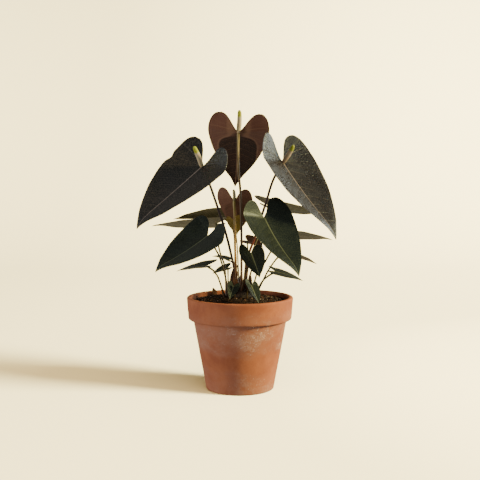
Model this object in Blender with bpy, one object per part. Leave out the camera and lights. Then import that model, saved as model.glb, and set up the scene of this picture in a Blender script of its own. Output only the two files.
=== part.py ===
"""A flowering anthurium in a clay pot: pot, soil, crown, sheaths, four flowers and sixteen leaves.

Metres, +Z up, with the pot's axis on Z and the pot standing on z = 0. The plant is placed from the
middle of the soil's top, so it follows the pot's height. Plant positions below are in millimetres
from that point: x to the right, y away from the front, z up.
"""
import math

import bmesh
import bpy
from mathutils import Vector

MM = 0.001

# Pot
POT_HEIGHT = 0.1304
RIM_RADIUS = 0.075
WALL = 0.0064
BAND_HEIGHT = 0.0315
BAND_TAPER = 0.0022
BAND_STEP = 0.0068
FOOT_RADIUS = 0.0478
FLOOR = 0.008
DRAIN_RADIUS = 0.007
LIP_ROUND = 0.0022
BAND_FILLET = 0.0008
BAND_CREASE = 0.001
BAND_ROUND = 0.0026
FOOT_ROUND = 0.0022
POT_SEGMENTS = 48

# Soil and crown
CLEARANCE = 0.0003
HEADSPACE = 0.0058
MOUND = 0.0058
PLATEAU_RADIUS = 0.026
CROWN_RADIUS = 0.0175
CROWN_EDGE = 0.003
CROWN_DOME = 0.009

# Plant
LEAF_THICKNESS = 0.0009
SPATHE_THICKNESS = 0.0010
SHEATH_THICKNESS = 0.0008
FLOWER_STALK_RADIUS = 0.0017
LEAF_STALK_RADIUS = 0.0012
FOOT_SWELL = 1.4
STALK_STEP = 0.009
SPADIX_GAP = 0.0009
SHEATH_BASE = 0.35

# Blades: the steps that a midrib is bent in, where its tip starts to bend and how fast, how much of
# the fold is reached at the midrib and gained by the margin, and how soon a lobe lifts. Each grid is
# the rows along a blade, those behind its sinus, and the columns across each half.
RIB_STEPS = 40
TIP_START = 0.75
TIP_POWER = 1.5
FOLD_AT_RIB = 0.45
FOLD_GAIN = 0.275
LIFT_EASE = 0.06
LARGE_LENGTH = 60
LARGE_GRID = (14, 4, 3)
SMALL_GRID = (10, 3, 2)
LANCE_GRID = (8, 0, 2)

# Stalks
SWELL_POWER = 1.5
SPAN_STEPS = 16

# Half of a heart-shaped blade: along the midrib from the sinus, and across it, as shares of the
# length and of the half width. The first points run round the lobe behind the sinus.
HEART_SINUS = [(-0.25, 0.60), (-0.232, 0.46), (-0.178, 0.32), (-0.08, 0.15), (0, 0)]
HEART_MARGIN = [(-0.25, 0.60), (-0.238, 0.76), (-0.17, 0.91), (-0.04, 1), (0.14, 0.99), (0.33, 0.90),
                (0.50, 0.76), (0.66, 0.57), (0.79, 0.37), (0.885, 0.19), (0.95, 0.08), (1, 0)]
LANCE_MARGIN = [(0, 0), (0.04, 0.60), (0.20, 0.95), (0.45, 1), (0.75, 0.62), (0.93, 0.20), (1, 0)]

# Each blade: where its midrib starts, the compass heading, downward pitch and roll of that midrib,
# length and half width, the bend along it and at its tip, and the fold, lobe lift and lobe length
# of its left and right halves. A sheath starts on the crown, at shares of the crown's radius.
BLADE_KEYS = ("root", "heading", "pitch", "roll", "length", "half_width", "bend", "tip_bend",
              "fold", "lift", "lobe")
SPATHES = {
    "left": ((-51.5, -38, 181.7), -149, 39, -13, 126, 47.5, -3, 28, (0, 42), (42, 19), (1, 1)),
    "top": ((-2.2, 6, 230.1), 91, 23, 7, 128, 43, 23, 26, (4, 14), (24, 22), (1.07, 1.09)),
    "right": ((60.3, 5, 188.4), -38, 52, 2, 137, 49.5, -10, 29, (36, 13), (9, 36), (1.07, 1.12)),
    "mid": ((-8.3, 22, 134.8), 78, 50, 2, 57, 26, 7, 9, (14, 22), (26, 19), (1.26, 1.06)),
}
LEAVES = {
    "front_right": ((33.6, -48, 112.1), -55, 51, -7, 101, 37.5, -19, 35, (43, 2), (1, 42), (1.16, 0.9)),
    "front_left": ((-43.8, -40, 88.9), -158, 36, -7, 88, 38.5, -14, 32, (-10, 39), (42, 17), (1, 0.85)),
    "front_small": ((15.5, -45, 65.1), -76, 31, 6, 49, 17, 6, 17, (22, 10), (11, 33), (0.98, 1.17)),
    "back_left_upper": ((-23, 70, 107.2), 186, -2, 17, 76, 30, 3, 10, (24, 18), (23, 15), (0.9, 0.9)),
    "back_left_lower": ((-35.4, 74, 99.1), 189, 2, 15, 96, 31, -4, 15, (9, 2), (16, 15), (0.70, 0.70)),
    "back_right_upper": ((43.5, 50, 125.9), -15, 12, -14, 83, 34, -13, 11, (4, 13), (14, 9), (1, 1)),
    "back_right_middle": ((61.2, 50, 83.7), -17, 1, -17, 76, 29.5, 4, 14, (4, 6), (15, 15), (1, 1)),
    "back_right_lower": ((60.8, 15, 58.9), 15, 12, -10, 54, 20, 8, 10, (12, 12), (15, 15), (1, 1)),
    "low_left": ((-46.5, -16, 45.3), 156, 6, -11, 49, 18.5, 10, 9, (10, 12), (4, 13), (1.08, 0.98)),
    "low_right": ((49.5, -12, 36.9), 1, 13, 10, 41, 18.5, 11, 9, (1, 1), (12, 7), (0.98, 1.04)),
    "inner_left_upper": ((-18.1, 36, 48.4), 168, -23, -9, 24, 9.6, 23, 10, (17, 18), (1, 15), (1, 1)),
    "inner_left_lower": ((-17.5, 28, 37.7), 186, 14, -21, 24, 9.6, 13, 11, (15, 18), (15, 17), (1, 0.98)),
    "basal_left": ((-8.9, -35, 19.2), -101, 28, -18, 25, 8.7, 18, 10, (21, 22), (15, 15), (1, 1)),
    "basal_right": ((15.5, -40, 20.6), -66, 39, -15, 31, 11, 4, 7, (16, 17), (14, 22), (0.9, 1.05)),
    "back_centre": ((-8.7, 27, 106.5), 74, 50, -15, 25, 11, 19, 11, (18, 18), (15, 15), (1.02, 1)),
    "back_centre_right": ((10.3, 40, 76.2), 36, 11, -32, 29, 11, 21, 10, (17, 22), (15, 15), (1, 1)),
}
SHEATHS = {
    "left": ((-0.57, -0.63), -90, -85, 0, 36, 5.5, -6, 0, (40, 40), (0, 0), (1, 1)),
    "right": ((0.8, -0.2), -60, -82, 0, 27, 4.5, -6, 0, (40, 40), (0, 0), (1, 1)),
    "back": ((0, 0.86), 90, -78, 0, 24, 4, -6, 0, (40, 40), (0, 0), (1, 1)),
}

# Each stalk: where its foot stands, as shares of the crown's radius so that one past 1 stands on the
# soil, then the points that it passes.
FLOWER_STALKS = {
    "left": ((-0.4, -0.34), [(-8.1, -8, 38.2), (-13.4, -12, 64.8), (-22.1, -18, 99.7), (-31.6, -24.5, 129),
                             (-40.9, -31, 157)]),
    "top": ((0.11, 0), [(2.1, 1.5, 48.5), (2, 3, 100.7), (0.4, 4, 147.8), (-2, 4.5, 175.2),
                       (-2.8, 5, 200.9)]),
    "right": ((0.37, 0.23), [(11.3, 4.2, 54), (21.3, 4, 84.5), (35.4, 4, 128.5), (46.5, 4.5, 163.9)]),
    "mid": ((-0.23, 0.34), [(-6.4, 11, 47.4), (-7.1, 15, 78.5), (-7.5, 18.5, 105.8)]),
}
LEAF_STALKS = {
    "front_right": ((0.49, -0.37), [(15.3, -13.5, 36), (26.2, -24.1, 64.9), (33, -37, 93.3)]),
    "front_left": ((-0.8, -0.86), [(-22.2, -18.5, 37.5), (-28.2, -24.3, 57.9), (-33.3, -29.7, 69)]),
    "front_small": ((0.14, -0.54), [(6.9, -19, 31.3), (12.3, -32.9, 49.2)]),
    "back_left_upper": ((-0.49, 0.51), [(-5.7, 19, 44), (-7, 29, 66.7), (-9, 45, 86), (-14, 60, 99)]),
    "back_left_lower": ((-1.09, 0.46), [(-22, 12, 41), (-27, 19, 55), (-31, 31, 68), (-34, 52, 86)]),
    "back_right_upper": ((0.46, 0.57), [(12.8, 15, 47), (24.3, 24, 78.3), (33.5, 36, 104)]),
    "back_right_middle": ((0.97, 0.69), [(23.9, 17, 29), (36, 26, 46.4), (47, 36, 64)]),
    "back_right_lower": ((1.23, 0.17), [(39.8, 8.1, 35), (53, 12.9, 53)]),
    "low_left": ((-1.26, -0.23), [(-29.6, -7.4, 25.4), (-35, -11, 35), (-39, -13, 39.5)]),
    "low_right": ((1.17, -0.46), [(30, -11, 21), (39, -13, 30)]),
    "inner_left_upper": ((-0.69, 0.97), [(-3, 24, 32), (-7, 33, 43)]),
    "inner_left_lower": ((-0.94, 0.74), [(-17, 19, 22)]),
    "basal_left": ((-0.4, -1.11), [(-7.5, -25, 10)]),
    "basal_right": ((0.51, -1.11), [(11, -27, 12)]),
    "back_centre": ((-0.06, 0.66), [(-3, 18, 51.9), (-5, 22.5, 80)]),
    "back_centre_right": ((0.29, 1.17), [(7.2, 23.1, 37.7), (11, 32.4, 60)]),
}

# Each flower's spadix: where its tip stands, and its radius at the thickest.
SPADICES = {
    "left": ((-61.3, -52, 208.5), 3.3),
    "top": ((-0.7, 0, 261.2), 3.4),
    "right": ((74.6, -8, 212.2), 3.3),
    "mid": ((-9.2, 19, 150.8), 2.3),
}
SPADIX_PROFILE = [(0, 0.45), (0.04, 0.62), (0.12, 0.88), (0.30, 1), (0.60, 0.96), (0.85, 0.84),
                  (0.94, 0.66), (0.98, 0.42), (1, 0.12)]

SOIL_EDGE = POT_HEIGHT - HEADSPACE
PLANT_BASE = SOIL_EDGE + MOUND


# Materials and objects

def material(name, color, roughness, metallic=0.0):
    mat = bpy.data.materials.new(name)
    mat.use_nodes = True
    shader = mat.node_tree.nodes["Principled BSDF"]
    shader.inputs["Base Color"].default_value = (*color, 1)
    shader.inputs["Roughness"].default_value = roughness
    shader.inputs["Metallic"].default_value = metallic
    mat.diffuse_color = (*color, 1)
    return mat


def add_object(name, data, mat):
    obj = bpy.data.objects.new(name, data)
    bpy.context.collection.objects.link(obj)
    data.materials.append(mat)
    return obj


def smooth(obj, angle=40):
    obj.data.shade_smooth()
    obj.data.set_sharp_from_angle(angle=math.radians(angle))


# Curves

def spline_point(points, span, share):
    """A point on the Catmull-Rom curve through the points, on the span after points[span]."""
    before = points[span - 1] if span > 0 else 2 * points[0] - points[1]
    after = points[span + 2] if span + 2 < len(points) else 2 * points[-1] - points[-2]
    start, end = points[span], points[span + 1]
    return 0.5 * (2 * start + (end - before) * share
                  + (2 * before - 5 * start + 4 * end - after) * share ** 2
                  + (3 * start - before - 3 * end + after) * share ** 3)


def along_curve(points, count):
    """Points evenly spaced along the smooth curve through the given ones, both ends included."""
    points = [Vector(p) for p in points]
    fine = [spline_point(points, span, step / SPAN_STEPS)
            for span in range(len(points) - 1) for step in range(SPAN_STEPS)]
    fine.append(points[-1])
    reach = [0]
    for start, end in zip(fine, fine[1:]):
        reach.append(reach[-1] + (end - start).length)
    spaced = []
    index = 0
    for step in range(count):
        wanted = reach[-1] * step / (count - 1)
        while index < len(fine) - 2 and reach[index + 1] < wanted:
            index += 1
        share = (wanted - reach[index]) / (reach[index + 1] - reach[index])
        spaced.append(fine[index].lerp(fine[index + 1], min(share, 1)))
    return spaced


def tube(name, points, radii, mat, resolution=2):
    """A round rod along the points, with a radius at each and filled ends."""
    curve = bpy.data.curves.new(name, "CURVE")
    curve.dimensions = "3D"
    curve.bevel_depth = 1
    curve.bevel_resolution = resolution
    curve.use_fill_caps = True
    spline = curve.splines.new("POLY")
    spline.points.add(len(points) - 1)
    for target, point, radius in zip(spline.points, points, radii):
        target.co = (*point, 1)
        target.radius = radius
    spline.use_smooth = True
    return add_object(name, curve, mat)


def turned(name, profile, mat):
    """A profile of (radius, height) points in a closed loop, turned round Z."""
    mesh = bpy.data.meshes.new(name)
    edges = [(i, (i + 1) % len(profile)) for i in range(len(profile))]
    if profile[0][0] == 0:
        edges.pop()
    mesh.from_pydata([(r, 0, z) for r, z in profile], edges, [])
    obj = add_object(name, mesh, mat)
    screw = obj.modifiers.new("turn", "SCREW")
    screw.axis = "Z"
    screw.angle = math.tau
    screw.steps = POT_SEGMENTS
    screw.render_steps = POT_SEGMENTS
    screw.use_merge_vertices = True
    screw.merge_threshold = 0.00005
    screw.use_smooth_shade = True
    return obj


def arc(center, radius, start, end, count):
    """Points on an arc in (radius, height), angles in degrees from +radius towards +height."""
    angles = [math.radians(start + (end - start) * i / (count - 1)) for i in range(count)]
    return [(center[0] + radius * math.cos(a), center[1] + radius * math.sin(a)) for a in angles]


# Pot, soil and crown

def body_radius(z):
    """Outer radius of the pot's body below its band, at height z."""
    top = RIM_RADIUS - BAND_TAPER - BAND_STEP
    return FOOT_RADIUS + (top - FOOT_RADIUS) * z / (POT_HEIGHT - BAND_HEIGHT)


def inner_radius(z):
    """Inner radius of the pot's wall: straight in the body, and opening out behind the band."""
    mouth = RIM_RADIUS - WALL
    shoulder = POT_HEIGHT - BAND_HEIGHT
    if z <= shoulder:
        return body_radius(z) - WALL
    share = (z - shoulder) / BAND_HEIGHT
    narrow = body_radius(shoulder) - WALL
    return narrow + (mouth - narrow) * math.sin(share * math.pi / 2)


def inner_heights(low, high):
    """Heights at which the wall and the soil against it have their rings."""
    shoulder = POT_HEIGHT - BAND_HEIGHT
    marks = sorted([shoulder + BAND_HEIGHT * share for share in (0, 0.2, 0.4, 0.6)] + [SOIL_EDGE])
    return [low] + [z for z in marks if low < z < high] + [high]


def pot():
    shoulder = POT_HEIGHT - BAND_HEIGHT
    band_foot = RIM_RADIUS - BAND_TAPER
    mouth = RIM_RADIUS - WALL
    profile = arc((mouth + LIP_ROUND, POT_HEIGHT - LIP_ROUND), LIP_ROUND, 180, 90, 4)
    profile += arc((RIM_RADIUS - LIP_ROUND, POT_HEIGHT - LIP_ROUND), LIP_ROUND, 90, 0, 4)
    profile += arc((band_foot - BAND_ROUND, shoulder + BAND_ROUND), BAND_ROUND, 0, -90, 5)
    profile += [(body_radius(shoulder) + BAND_FILLET, shoulder),
                (body_radius(shoulder - BAND_CREASE), shoulder - BAND_CREASE)]
    profile += arc((body_radius(FOOT_ROUND) - FOOT_ROUND, FOOT_ROUND), FOOT_ROUND, 0, -90, 4)
    profile += [(DRAIN_RADIUS, 0), (DRAIN_RADIUS, FLOOR)]
    profile += [(inner_radius(z), z) for z in inner_heights(FLOOR, POT_HEIGHT - LIP_ROUND)[:-1]]
    return turned("pot", profile, material("terracotta", (0.60, 0.25, 0.12), 0.85))


def soil_height(r):
    """Height of the soil's top at distance r from the axis: a low mound with a level middle."""
    edge = inner_radius(SOIL_EDGE) - CLEARANCE
    if r <= PLATEAU_RADIUS:
        return PLANT_BASE
    share = (r - PLATEAU_RADIUS) / (edge - PLATEAU_RADIUS)
    return SOIL_EDGE + MOUND * (0.5 + 0.5 * math.cos(math.pi * share))


def soil():
    edge = inner_radius(SOIL_EDGE) - CLEARANCE
    shares = [0.2, 0.4, 0.6, 0.8]
    top = [PLATEAU_RADIUS + (edge - PLATEAU_RADIUS) * share for share in shares]
    low = FLOOR + CLEARANCE
    profile = [(0, PLANT_BASE), (PLATEAU_RADIUS, PLANT_BASE)]
    profile += [(r, soil_height(r)) for r in top]
    profile += [(inner_radius(z) - CLEARANCE, z) for z in reversed(inner_heights(low, SOIL_EDGE))]
    profile += [(0, low)]
    return turned("soil", profile, material("potting_mix", (0.035, 0.024, 0.017), 0.95))


def crown_height(r):
    """Height of the crown's dome above the plateau, at distance r from the axis."""
    return CROWN_EDGE + CROWN_DOME * (1 - (r / CROWN_RADIUS) ** 2)


def crown():
    low = PLANT_BASE + CLEARANCE
    radii = [CROWN_RADIUS * share for share in (0, 0.25, 0.5, 0.75, 0.9, 1)]
    profile = [(r, PLANT_BASE + crown_height(r)) for r in radii]
    profile += [(CROWN_RADIUS, low), (0, low)]
    return turned("crown", profile, material("crown_tissue", (0.10, 0.055, 0.045), 0.8))


# Blades

def blade(values, thickness):
    """A blade's named sizes in metres and radians, with its axes and the curve of its midrib."""
    made = dict(zip(BLADE_KEYS, values))
    heading, pitch, roll = (math.radians(made[key]) for key in ("heading", "pitch", "roll"))
    rib = Vector((math.cos(heading) * math.cos(pitch), math.sin(heading) * math.cos(pitch), -math.sin(pitch)))
    level = Vector((-math.sin(heading), math.cos(heading), 0))
    made["rib"] = rib
    made["side"] = level * math.cos(roll) + rib.cross(level) * math.sin(roll)
    made["up"] = rib.cross(made["side"])
    made["root"] = Vector(made["root"]).to_3d() * MM + Vector((0, 0, PLANT_BASE))
    made["thickness"] = thickness
    place = Vector((0, 0))
    made["rib_curve"] = [(place.copy(), 0.0)]
    for step in range(RIB_STEPS):
        turn = []
        for share in (step / RIB_STEPS, (step + 1) / RIB_STEPS):
            tip = max(0, (share - TIP_START) / (1 - TIP_START)) ** TIP_POWER
            turn.append(math.radians(made["bend"] * share + made["tip_bend"] * tip))
        middle = sum(turn) / 2
        place += Vector((math.cos(middle), -math.sin(middle))) / RIB_STEPS
        made["rib_curve"].append((place.copy(), turn[1]))
    return made


def blade_point(made, along, across):
    """Where the flat outline's point comes to lie once the blade is bent, folded and lifted."""
    right = across < 0
    length = made["length"] * MM
    half = made["half_width"] * MM
    if along < 0:
        back = -along * made["lobe"][right]
        rise = math.radians(made["lift"][right]) * back / (back + LIFT_EASE)
        place = Vector((-back * math.cos(rise), back * math.sin(rise)))
        turn = 0.0
    else:
        step = min(int(along * RIB_STEPS), RIB_STEPS - 1)
        (start, turn_a), (end, turn_b) = made["rib_curve"][step:step + 2]
        share = along * RIB_STEPS - step
        place = start.lerp(end, share)
        turn = turn_a + (turn_b - turn_a) * share
    fold = math.radians(made["fold"][right]) * (FOLD_AT_RIB + FOLD_GAIN * abs(across))
    rise_axis = made["up"] * math.cos(turn) + made["rib"] * math.sin(turn)
    return (made["root"] + made["rib"] * place.x * length + made["up"] * place.y * length
            + made["side"] * across * math.cos(fold) * half
            + rise_axis * abs(across) * math.sin(fold) * half)


def half_rows(inner, margin, rows, sinus_rows):
    """Pairs of matching points on the inner line and the margin, from the lobe's back to the tip."""
    outer = along_curve([(x, y, 0) for x, y in margin], rows + 1)
    if not sinus_rows:
        return [(Vector((x / rows, 0, 0)), outer[x]) for x in range(rows + 1)]
    edge = along_curve([(x, y, 0) for x, y in inner], sinus_rows + 1)
    ribs = rows - sinus_rows
    edge += [Vector((step / ribs, 0, 0)) for step in range(1, ribs + 1)]
    return list(zip(edge, outer))


def blade_object(name, made, pairs, columns, mat):
    """The blade as a sheet of quads on both sides of its midrib, thickened to a closed solid."""
    bm = bmesh.new()
    for sign in (1, -1):
        rows = []
        for inner, outer in pairs:
            flat = [inner.lerp(outer, column / columns) for column in range(columns + 1)]
            rows.append([bm.verts.new(blade_point(made, p.x, sign * p.y)) for p in flat])
        for low, high in zip(rows, rows[1:]):
            for column in range(columns):
                corners = [low[column], high[column], high[column + 1], low[column + 1]]
                bm.faces.new(corners[::-sign])
    bmesh.ops.remove_doubles(bm, verts=bm.verts, dist=0.000002)
    bmesh.ops.dissolve_degenerate(bm, edges=bm.edges, dist=0.000001)
    bmesh.ops.triangulate(bm, faces=bm.faces)
    mesh = bpy.data.meshes.new(name)
    bm.to_mesh(mesh)
    bm.free()
    obj = add_object(name, mesh, mat)
    solidify = obj.modifiers.new("thickness", "SOLIDIFY")
    solidify.thickness = made["thickness"]
    solidify.offset = 0
    smooth(obj)
    return obj


def heart(name, made, mat):
    rows, sinus_rows, columns = LARGE_GRID if made["length"] > LARGE_LENGTH else SMALL_GRID
    return blade_object(name, made, half_rows(HEART_SINUS, HEART_MARGIN, rows, sinus_rows), columns, mat)


def lance(name, made, mat):
    rows, sinus_rows, columns = LANCE_GRID
    return blade_object(name, made, half_rows([], LANCE_MARGIN, rows, sinus_rows), columns, mat)


# Stalks and spadices

def ground(foot):
    """The point and the outward direction of what a foot stands on, the crown or the soil."""
    x, y = foot[0] * CROWN_RADIUS, foot[1] * CROWN_RADIUS
    r = math.hypot(x, y)
    if r > CROWN_RADIUS:
        return Vector((x, y, soil_height(r))), Vector((0, 0, 1))
    slope = 2 * CROWN_DOME / CROWN_RADIUS ** 2
    return Vector((x, y, PLANT_BASE + crown_height(r))), Vector((x * slope, y * slope, 1)).normalized()


def seat(face, out, direction, radius):
    """The centre of a round end that points back along direction and just clears the face."""
    tilt = math.sqrt(max(0, 1 - direction.dot(out) ** 2))
    return face + out * (CLEARANCE + radius * tilt)


def stalk(name, foot, route, made, radius, mat):
    """A stalk from its foot's seat, through its route, to just under the blade's root."""
    foot_radius = radius * FOOT_SWELL
    path = [Vector(p) * MM + Vector((0, 0, PLANT_BASE)) for p in route]
    face, out = ground(foot)
    start = seat(face, out, (path[0] - face).normalized(), foot_radius)
    under = made["root"] - made["up"] * made["thickness"] / 2
    end = seat(under, -made["up"], (under - path[-1]).normalized(), radius)
    path = [start] + path + [end]
    reach = sum((b - a).length for a, b in zip(path, path[1:]))
    points = along_curve(path, max(4, round(reach / STALK_STEP)))
    shares = [i / (len(points) - 1) for i in range(len(points))]
    radii = [radius + (foot_radius - radius) * (1 - share) ** SWELL_POWER for share in shares]
    return tube(name, points, radii, mat)


def spadix(name, tip, radius, made, mat):
    """The flower's spike, rising from just above the spathe's root."""
    top = Vector(tip) * MM + Vector((0, 0, PLANT_BASE))
    lean = (top - made["root"]).normalized()
    tilt = math.sqrt(max(0, 1 - lean.dot(made["up"]) ** 2))
    base_radius = radius * MM * SPADIX_PROFILE[0][1]
    start = made["root"] + made["up"] * (made["thickness"] / 2 + SPADIX_GAP + base_radius * tilt)
    points = [start.lerp(top, share) for share, _ in SPADIX_PROFILE]
    radii = [radius * MM * wide for _, wide in SPADIX_PROFILE]
    return tube(name, points, radii, mat, resolution=4)


def flowers():
    spathe_mat = material("spathe", (0.035, 0.018, 0.020), 0.35)
    spadix_mat = material("spadix", (0.72, 0.66, 0.45), 0.6)
    stalk_mat = material("flower_stalk", (0.09, 0.05, 0.035), 0.45)
    for name, values in SPATHES.items():
        made = blade(values, SPATHE_THICKNESS)
        heart(f"spathe_{name}", made, spathe_mat)
        tip, radius = SPADICES[name]
        spadix(f"spadix_{name}", tip, radius, made, spadix_mat)
        foot, route = FLOWER_STALKS[name]
        stalk(f"flower_stalk_{name}", foot, route, made, FLOWER_STALK_RADIUS, stalk_mat)


def leaves():
    leaf_mat = material("leaf", (0.022, 0.045, 0.018), 0.4)
    stalk_mat = material("leaf_stalk", (0.14, 0.13, 0.04), 0.5)
    for name, values in LEAVES.items():
        made = blade(values, LEAF_THICKNESS)
        heart(f"leaf_blade_{name}", made, leaf_mat)
        foot, route = LEAF_STALKS[name]
        stalk(f"leaf_stalk_{name}", foot, route, made, LEAF_STALK_RADIUS, stalk_mat)


def sheaths():
    mat = material("sheath", (0.16, 0.07, 0.06), 0.6)
    for name, values in SHEATHS.items():
        made = blade(values, SHEATH_THICKNESS)
        face, out = ground(values[0])
        made["root"] = seat(face, out, made["rib"], made["half_width"] * MM * SHEATH_BASE)
        lance(f"sheath_{name}", made, mat)


def main():
    for obj in list(bpy.data.objects):
        bpy.data.objects.remove(obj, do_unlink=True)
    pot()
    soil()
    crown()
    sheaths()
    flowers()
    leaves()


main()
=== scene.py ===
import math
import random

import bpy
from mathutils import Matrix, Vector, kdtree, noise


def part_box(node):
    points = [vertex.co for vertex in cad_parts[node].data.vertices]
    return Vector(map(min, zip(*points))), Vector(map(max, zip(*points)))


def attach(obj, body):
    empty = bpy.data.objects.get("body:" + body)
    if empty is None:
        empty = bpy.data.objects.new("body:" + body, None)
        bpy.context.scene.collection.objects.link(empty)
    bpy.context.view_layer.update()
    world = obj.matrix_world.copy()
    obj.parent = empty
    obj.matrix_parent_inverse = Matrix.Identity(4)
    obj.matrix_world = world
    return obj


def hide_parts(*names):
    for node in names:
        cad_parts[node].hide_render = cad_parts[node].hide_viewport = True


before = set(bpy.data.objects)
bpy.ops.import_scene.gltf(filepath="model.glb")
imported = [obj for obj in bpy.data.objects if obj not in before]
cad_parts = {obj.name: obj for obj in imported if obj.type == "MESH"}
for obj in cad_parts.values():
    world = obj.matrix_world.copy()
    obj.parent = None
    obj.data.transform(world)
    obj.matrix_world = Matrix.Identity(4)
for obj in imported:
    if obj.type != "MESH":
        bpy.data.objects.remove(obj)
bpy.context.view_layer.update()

mm = 0.001
nearly = 0.002 * mm  # points closer than this are one point
gapUnderCrown = 0.3 * mm
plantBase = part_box("crown")[0].z - gapUnderCrown  # the middle of the soil's top
noise.seed_set(7)  # without this the noise vectors differ from run to run


def onlySelect(obj):
    bpy.ops.object.select_all(action="DESELECT")
    obj.select_set(True)
    bpy.context.view_layer.objects.active = obj


def applyModifiers(obj):
    onlySelect(obj)
    for modifier in list(obj.modifiers):
        bpy.ops.object.modifier_apply(modifier=modifier.name)


def mergeDoubles(obj):
    onlySelect(obj)
    bpy.ops.object.mode_set(mode="EDIT")
    bpy.ops.mesh.select_all(action="SELECT")
    bpy.ops.mesh.remove_doubles(threshold=nearly)
    bpy.ops.mesh.dissolve_degenerate(threshold=nearly / 2)
    bpy.ops.mesh.normals_make_consistent(inside=False)
    bpy.ops.object.mode_set(mode="OBJECT")


def joinAll(objects):
    bpy.ops.object.select_all(action="DESELECT")
    for obj in objects:
        obj.select_set(True)
    bpy.context.view_layer.objects.active = objects[0]
    bpy.ops.object.join()
    return objects[0]


def finishPiece(obj, name, finishes, nodes=(), smoothAngle=50):
    # the last steps of every piece: names, materials, shading, and what it stands for
    obj.name = name
    obj.data.name = name
    for finish in finishes:
        if finish.name not in obj.data.materials:
            obj.data.materials.append(finish)
    onlySelect(obj)
    bpy.ops.object.shade_smooth_by_angle(angle=math.radians(smoothAngle))
    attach(obj, "root")
    if nodes:
        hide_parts(*nodes)
    return obj


def splinePoint(points, position):
    # Catmull-Rom through the points; position counts spans
    span = min(int(position), len(points) - 2)
    share = position - span
    start, end = points[span], points[span + 1]
    before = points[span - 1] if span > 0 else start * 2 - end
    after = points[span + 2] if span + 2 < len(points) else end * 2 - start
    return 0.5 * (start * 2 + (end - before) * share
                  + (before * 2 - start * 5 + end * 4 - after) * share ** 2
                  + (start * 3 - before - end * 3 + after) * share ** 3)


def evenPoints(points, count):
    # points at even distances along the smooth curve through the given ones
    points = [Vector(p) for p in points]
    perSpan = 24  # fine steps in each span
    fine = [splinePoint(points, step / perSpan) for step in range((len(points) - 1) * perSpan + 1)]
    reach = [0.0]
    for start, end in zip(fine, fine[1:]):
        reach.append(reach[-1] + (end - start).length)
    made = []
    index = 0
    for step in range(count):
        wanted = reach[-1] * step / (count - 1)
        while index < len(fine) - 2 and reach[index + 1] < wanted:
            index += 1
        share = (wanted - reach[index]) / max(reach[index + 1] - reach[index], 1e-9)
        made.append(fine[index].lerp(fine[index + 1], min(share, 1)))
    return made


def smoothStep(value, low, high):
    share = min(max((value - low) / (high - low), 0), 1)
    return share * share * (3 - 2 * share)


def addNode(tree, kind, inputs=None, **settings):
    made = tree.nodes.new("ShaderNode" + kind)
    for key, value in settings.items():
        setattr(made, key, value)
    for key, value in (inputs or {}).items():
        if isinstance(value, bpy.types.NodeSocket):
            tree.links.new(value, made.inputs[key])
        else:
            made.inputs[key].default_value = value
    return made


def calc(tree, operation, first, second=0.5):
    return addNode(tree, "Math", {0: first, 1: second}, operation=operation).outputs[0]


def times(tree, first, second):
    return calc(tree, "MULTIPLY", first, second)


def plus(tree, first, second):
    return calc(tree, "ADD", first, second)


def most(tree, first, second):
    return calc(tree, "MAXIMUM", first, second)


def minus(tree, first, second):
    return calc(tree, "SUBTRACT", first, second)


def mixColor(tree, share, first, second, blend="MIX"):
    first, second = [tone if isinstance(tone, bpy.types.NodeSocket) else (*tone, 1) for tone in (first, second)]
    made = addNode(tree, "Mix", {0: share, 6: first, 7: second}, data_type="RGBA", blend_type=blend)
    return made.outputs[2]


def spread(tree, value, low, high, toLow=0.0, toHigh=1.0):
    # a smooth step from toLow to toHigh as the value goes from low to high
    return addNode(tree, "MapRange", {0: value, 1: low, 2: high, 3: toLow, 4: toHigh},
                   interpolation_type="SMOOTHSTEP").outputs[0]


def splitUp(tree, vector):
    return addNode(tree, "SeparateXYZ", {0: vector}).outputs


def attributeOf(tree, name, output="Fac"):
    return addNode(tree, "Attribute", attribute_name=name).outputs[output]


def placed(tree, vector, scale=(1, 1, 1), location=(0, 0, 0)):
    return addNode(tree, "Mapping", {"Vector": vector, "Scale": scale, "Location": location}).outputs[0]


def noiseOf(tree, vector, scale, detail=4.0, roughness=0.55, distortion=0.0):
    return addNode(tree, "TexNoise", {"Vector": vector, "Scale": scale, "Detail": detail,
                                      "Roughness": roughness, "Distortion": distortion}).outputs[0]


def newMaterial(name, **sockets):
    material = bpy.data.materials.new(name)
    material.use_nodes = True
    tree = material.node_tree
    shader = tree.nodes["Principled BSDF"]
    for key, value in sockets.items():
        shader.inputs[key].default_value = value
    return material, tree, shader


def newGroup(name, inputs, outputs):
    group = bpy.data.node_groups.new(name, "ShaderNodeTree")
    for label, value in inputs.items():
        socket = group.interface.new_socket(name=label, in_out="INPUT", socket_type="NodeSocketFloat")
        socket.default_value = value
    for label, kind in outputs.items():
        group.interface.new_socket(name=label, in_out="OUTPUT", socket_type="NodeSocket" + kind)
    return group, group.nodes.new("NodeGroupInput").outputs, group.nodes.new("NodeGroupOutput").inputs


def putOut(tree, result, **made):
    for name, socket in made.items():
        tree.links.new(socket, result[name])


def useGroup(tree, group, **inputs):
    made = tree.nodes.new("ShaderNodeGroup")
    made.node_tree = group
    for key, value in inputs.items():
        made.inputs[key].default_value = value
    return made.outputs


def bumped(tree, shader, height, strength, distance):
    made = addNode(tree, "Bump", {"Height": height, "Strength": strength, "Distance": distance})
    tree.links.new(made.outputs[0], shader.inputs["Normal"])


def objectCoords(tree):
    return addNode(tree, "TexCoord").outputs["Object"]


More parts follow.
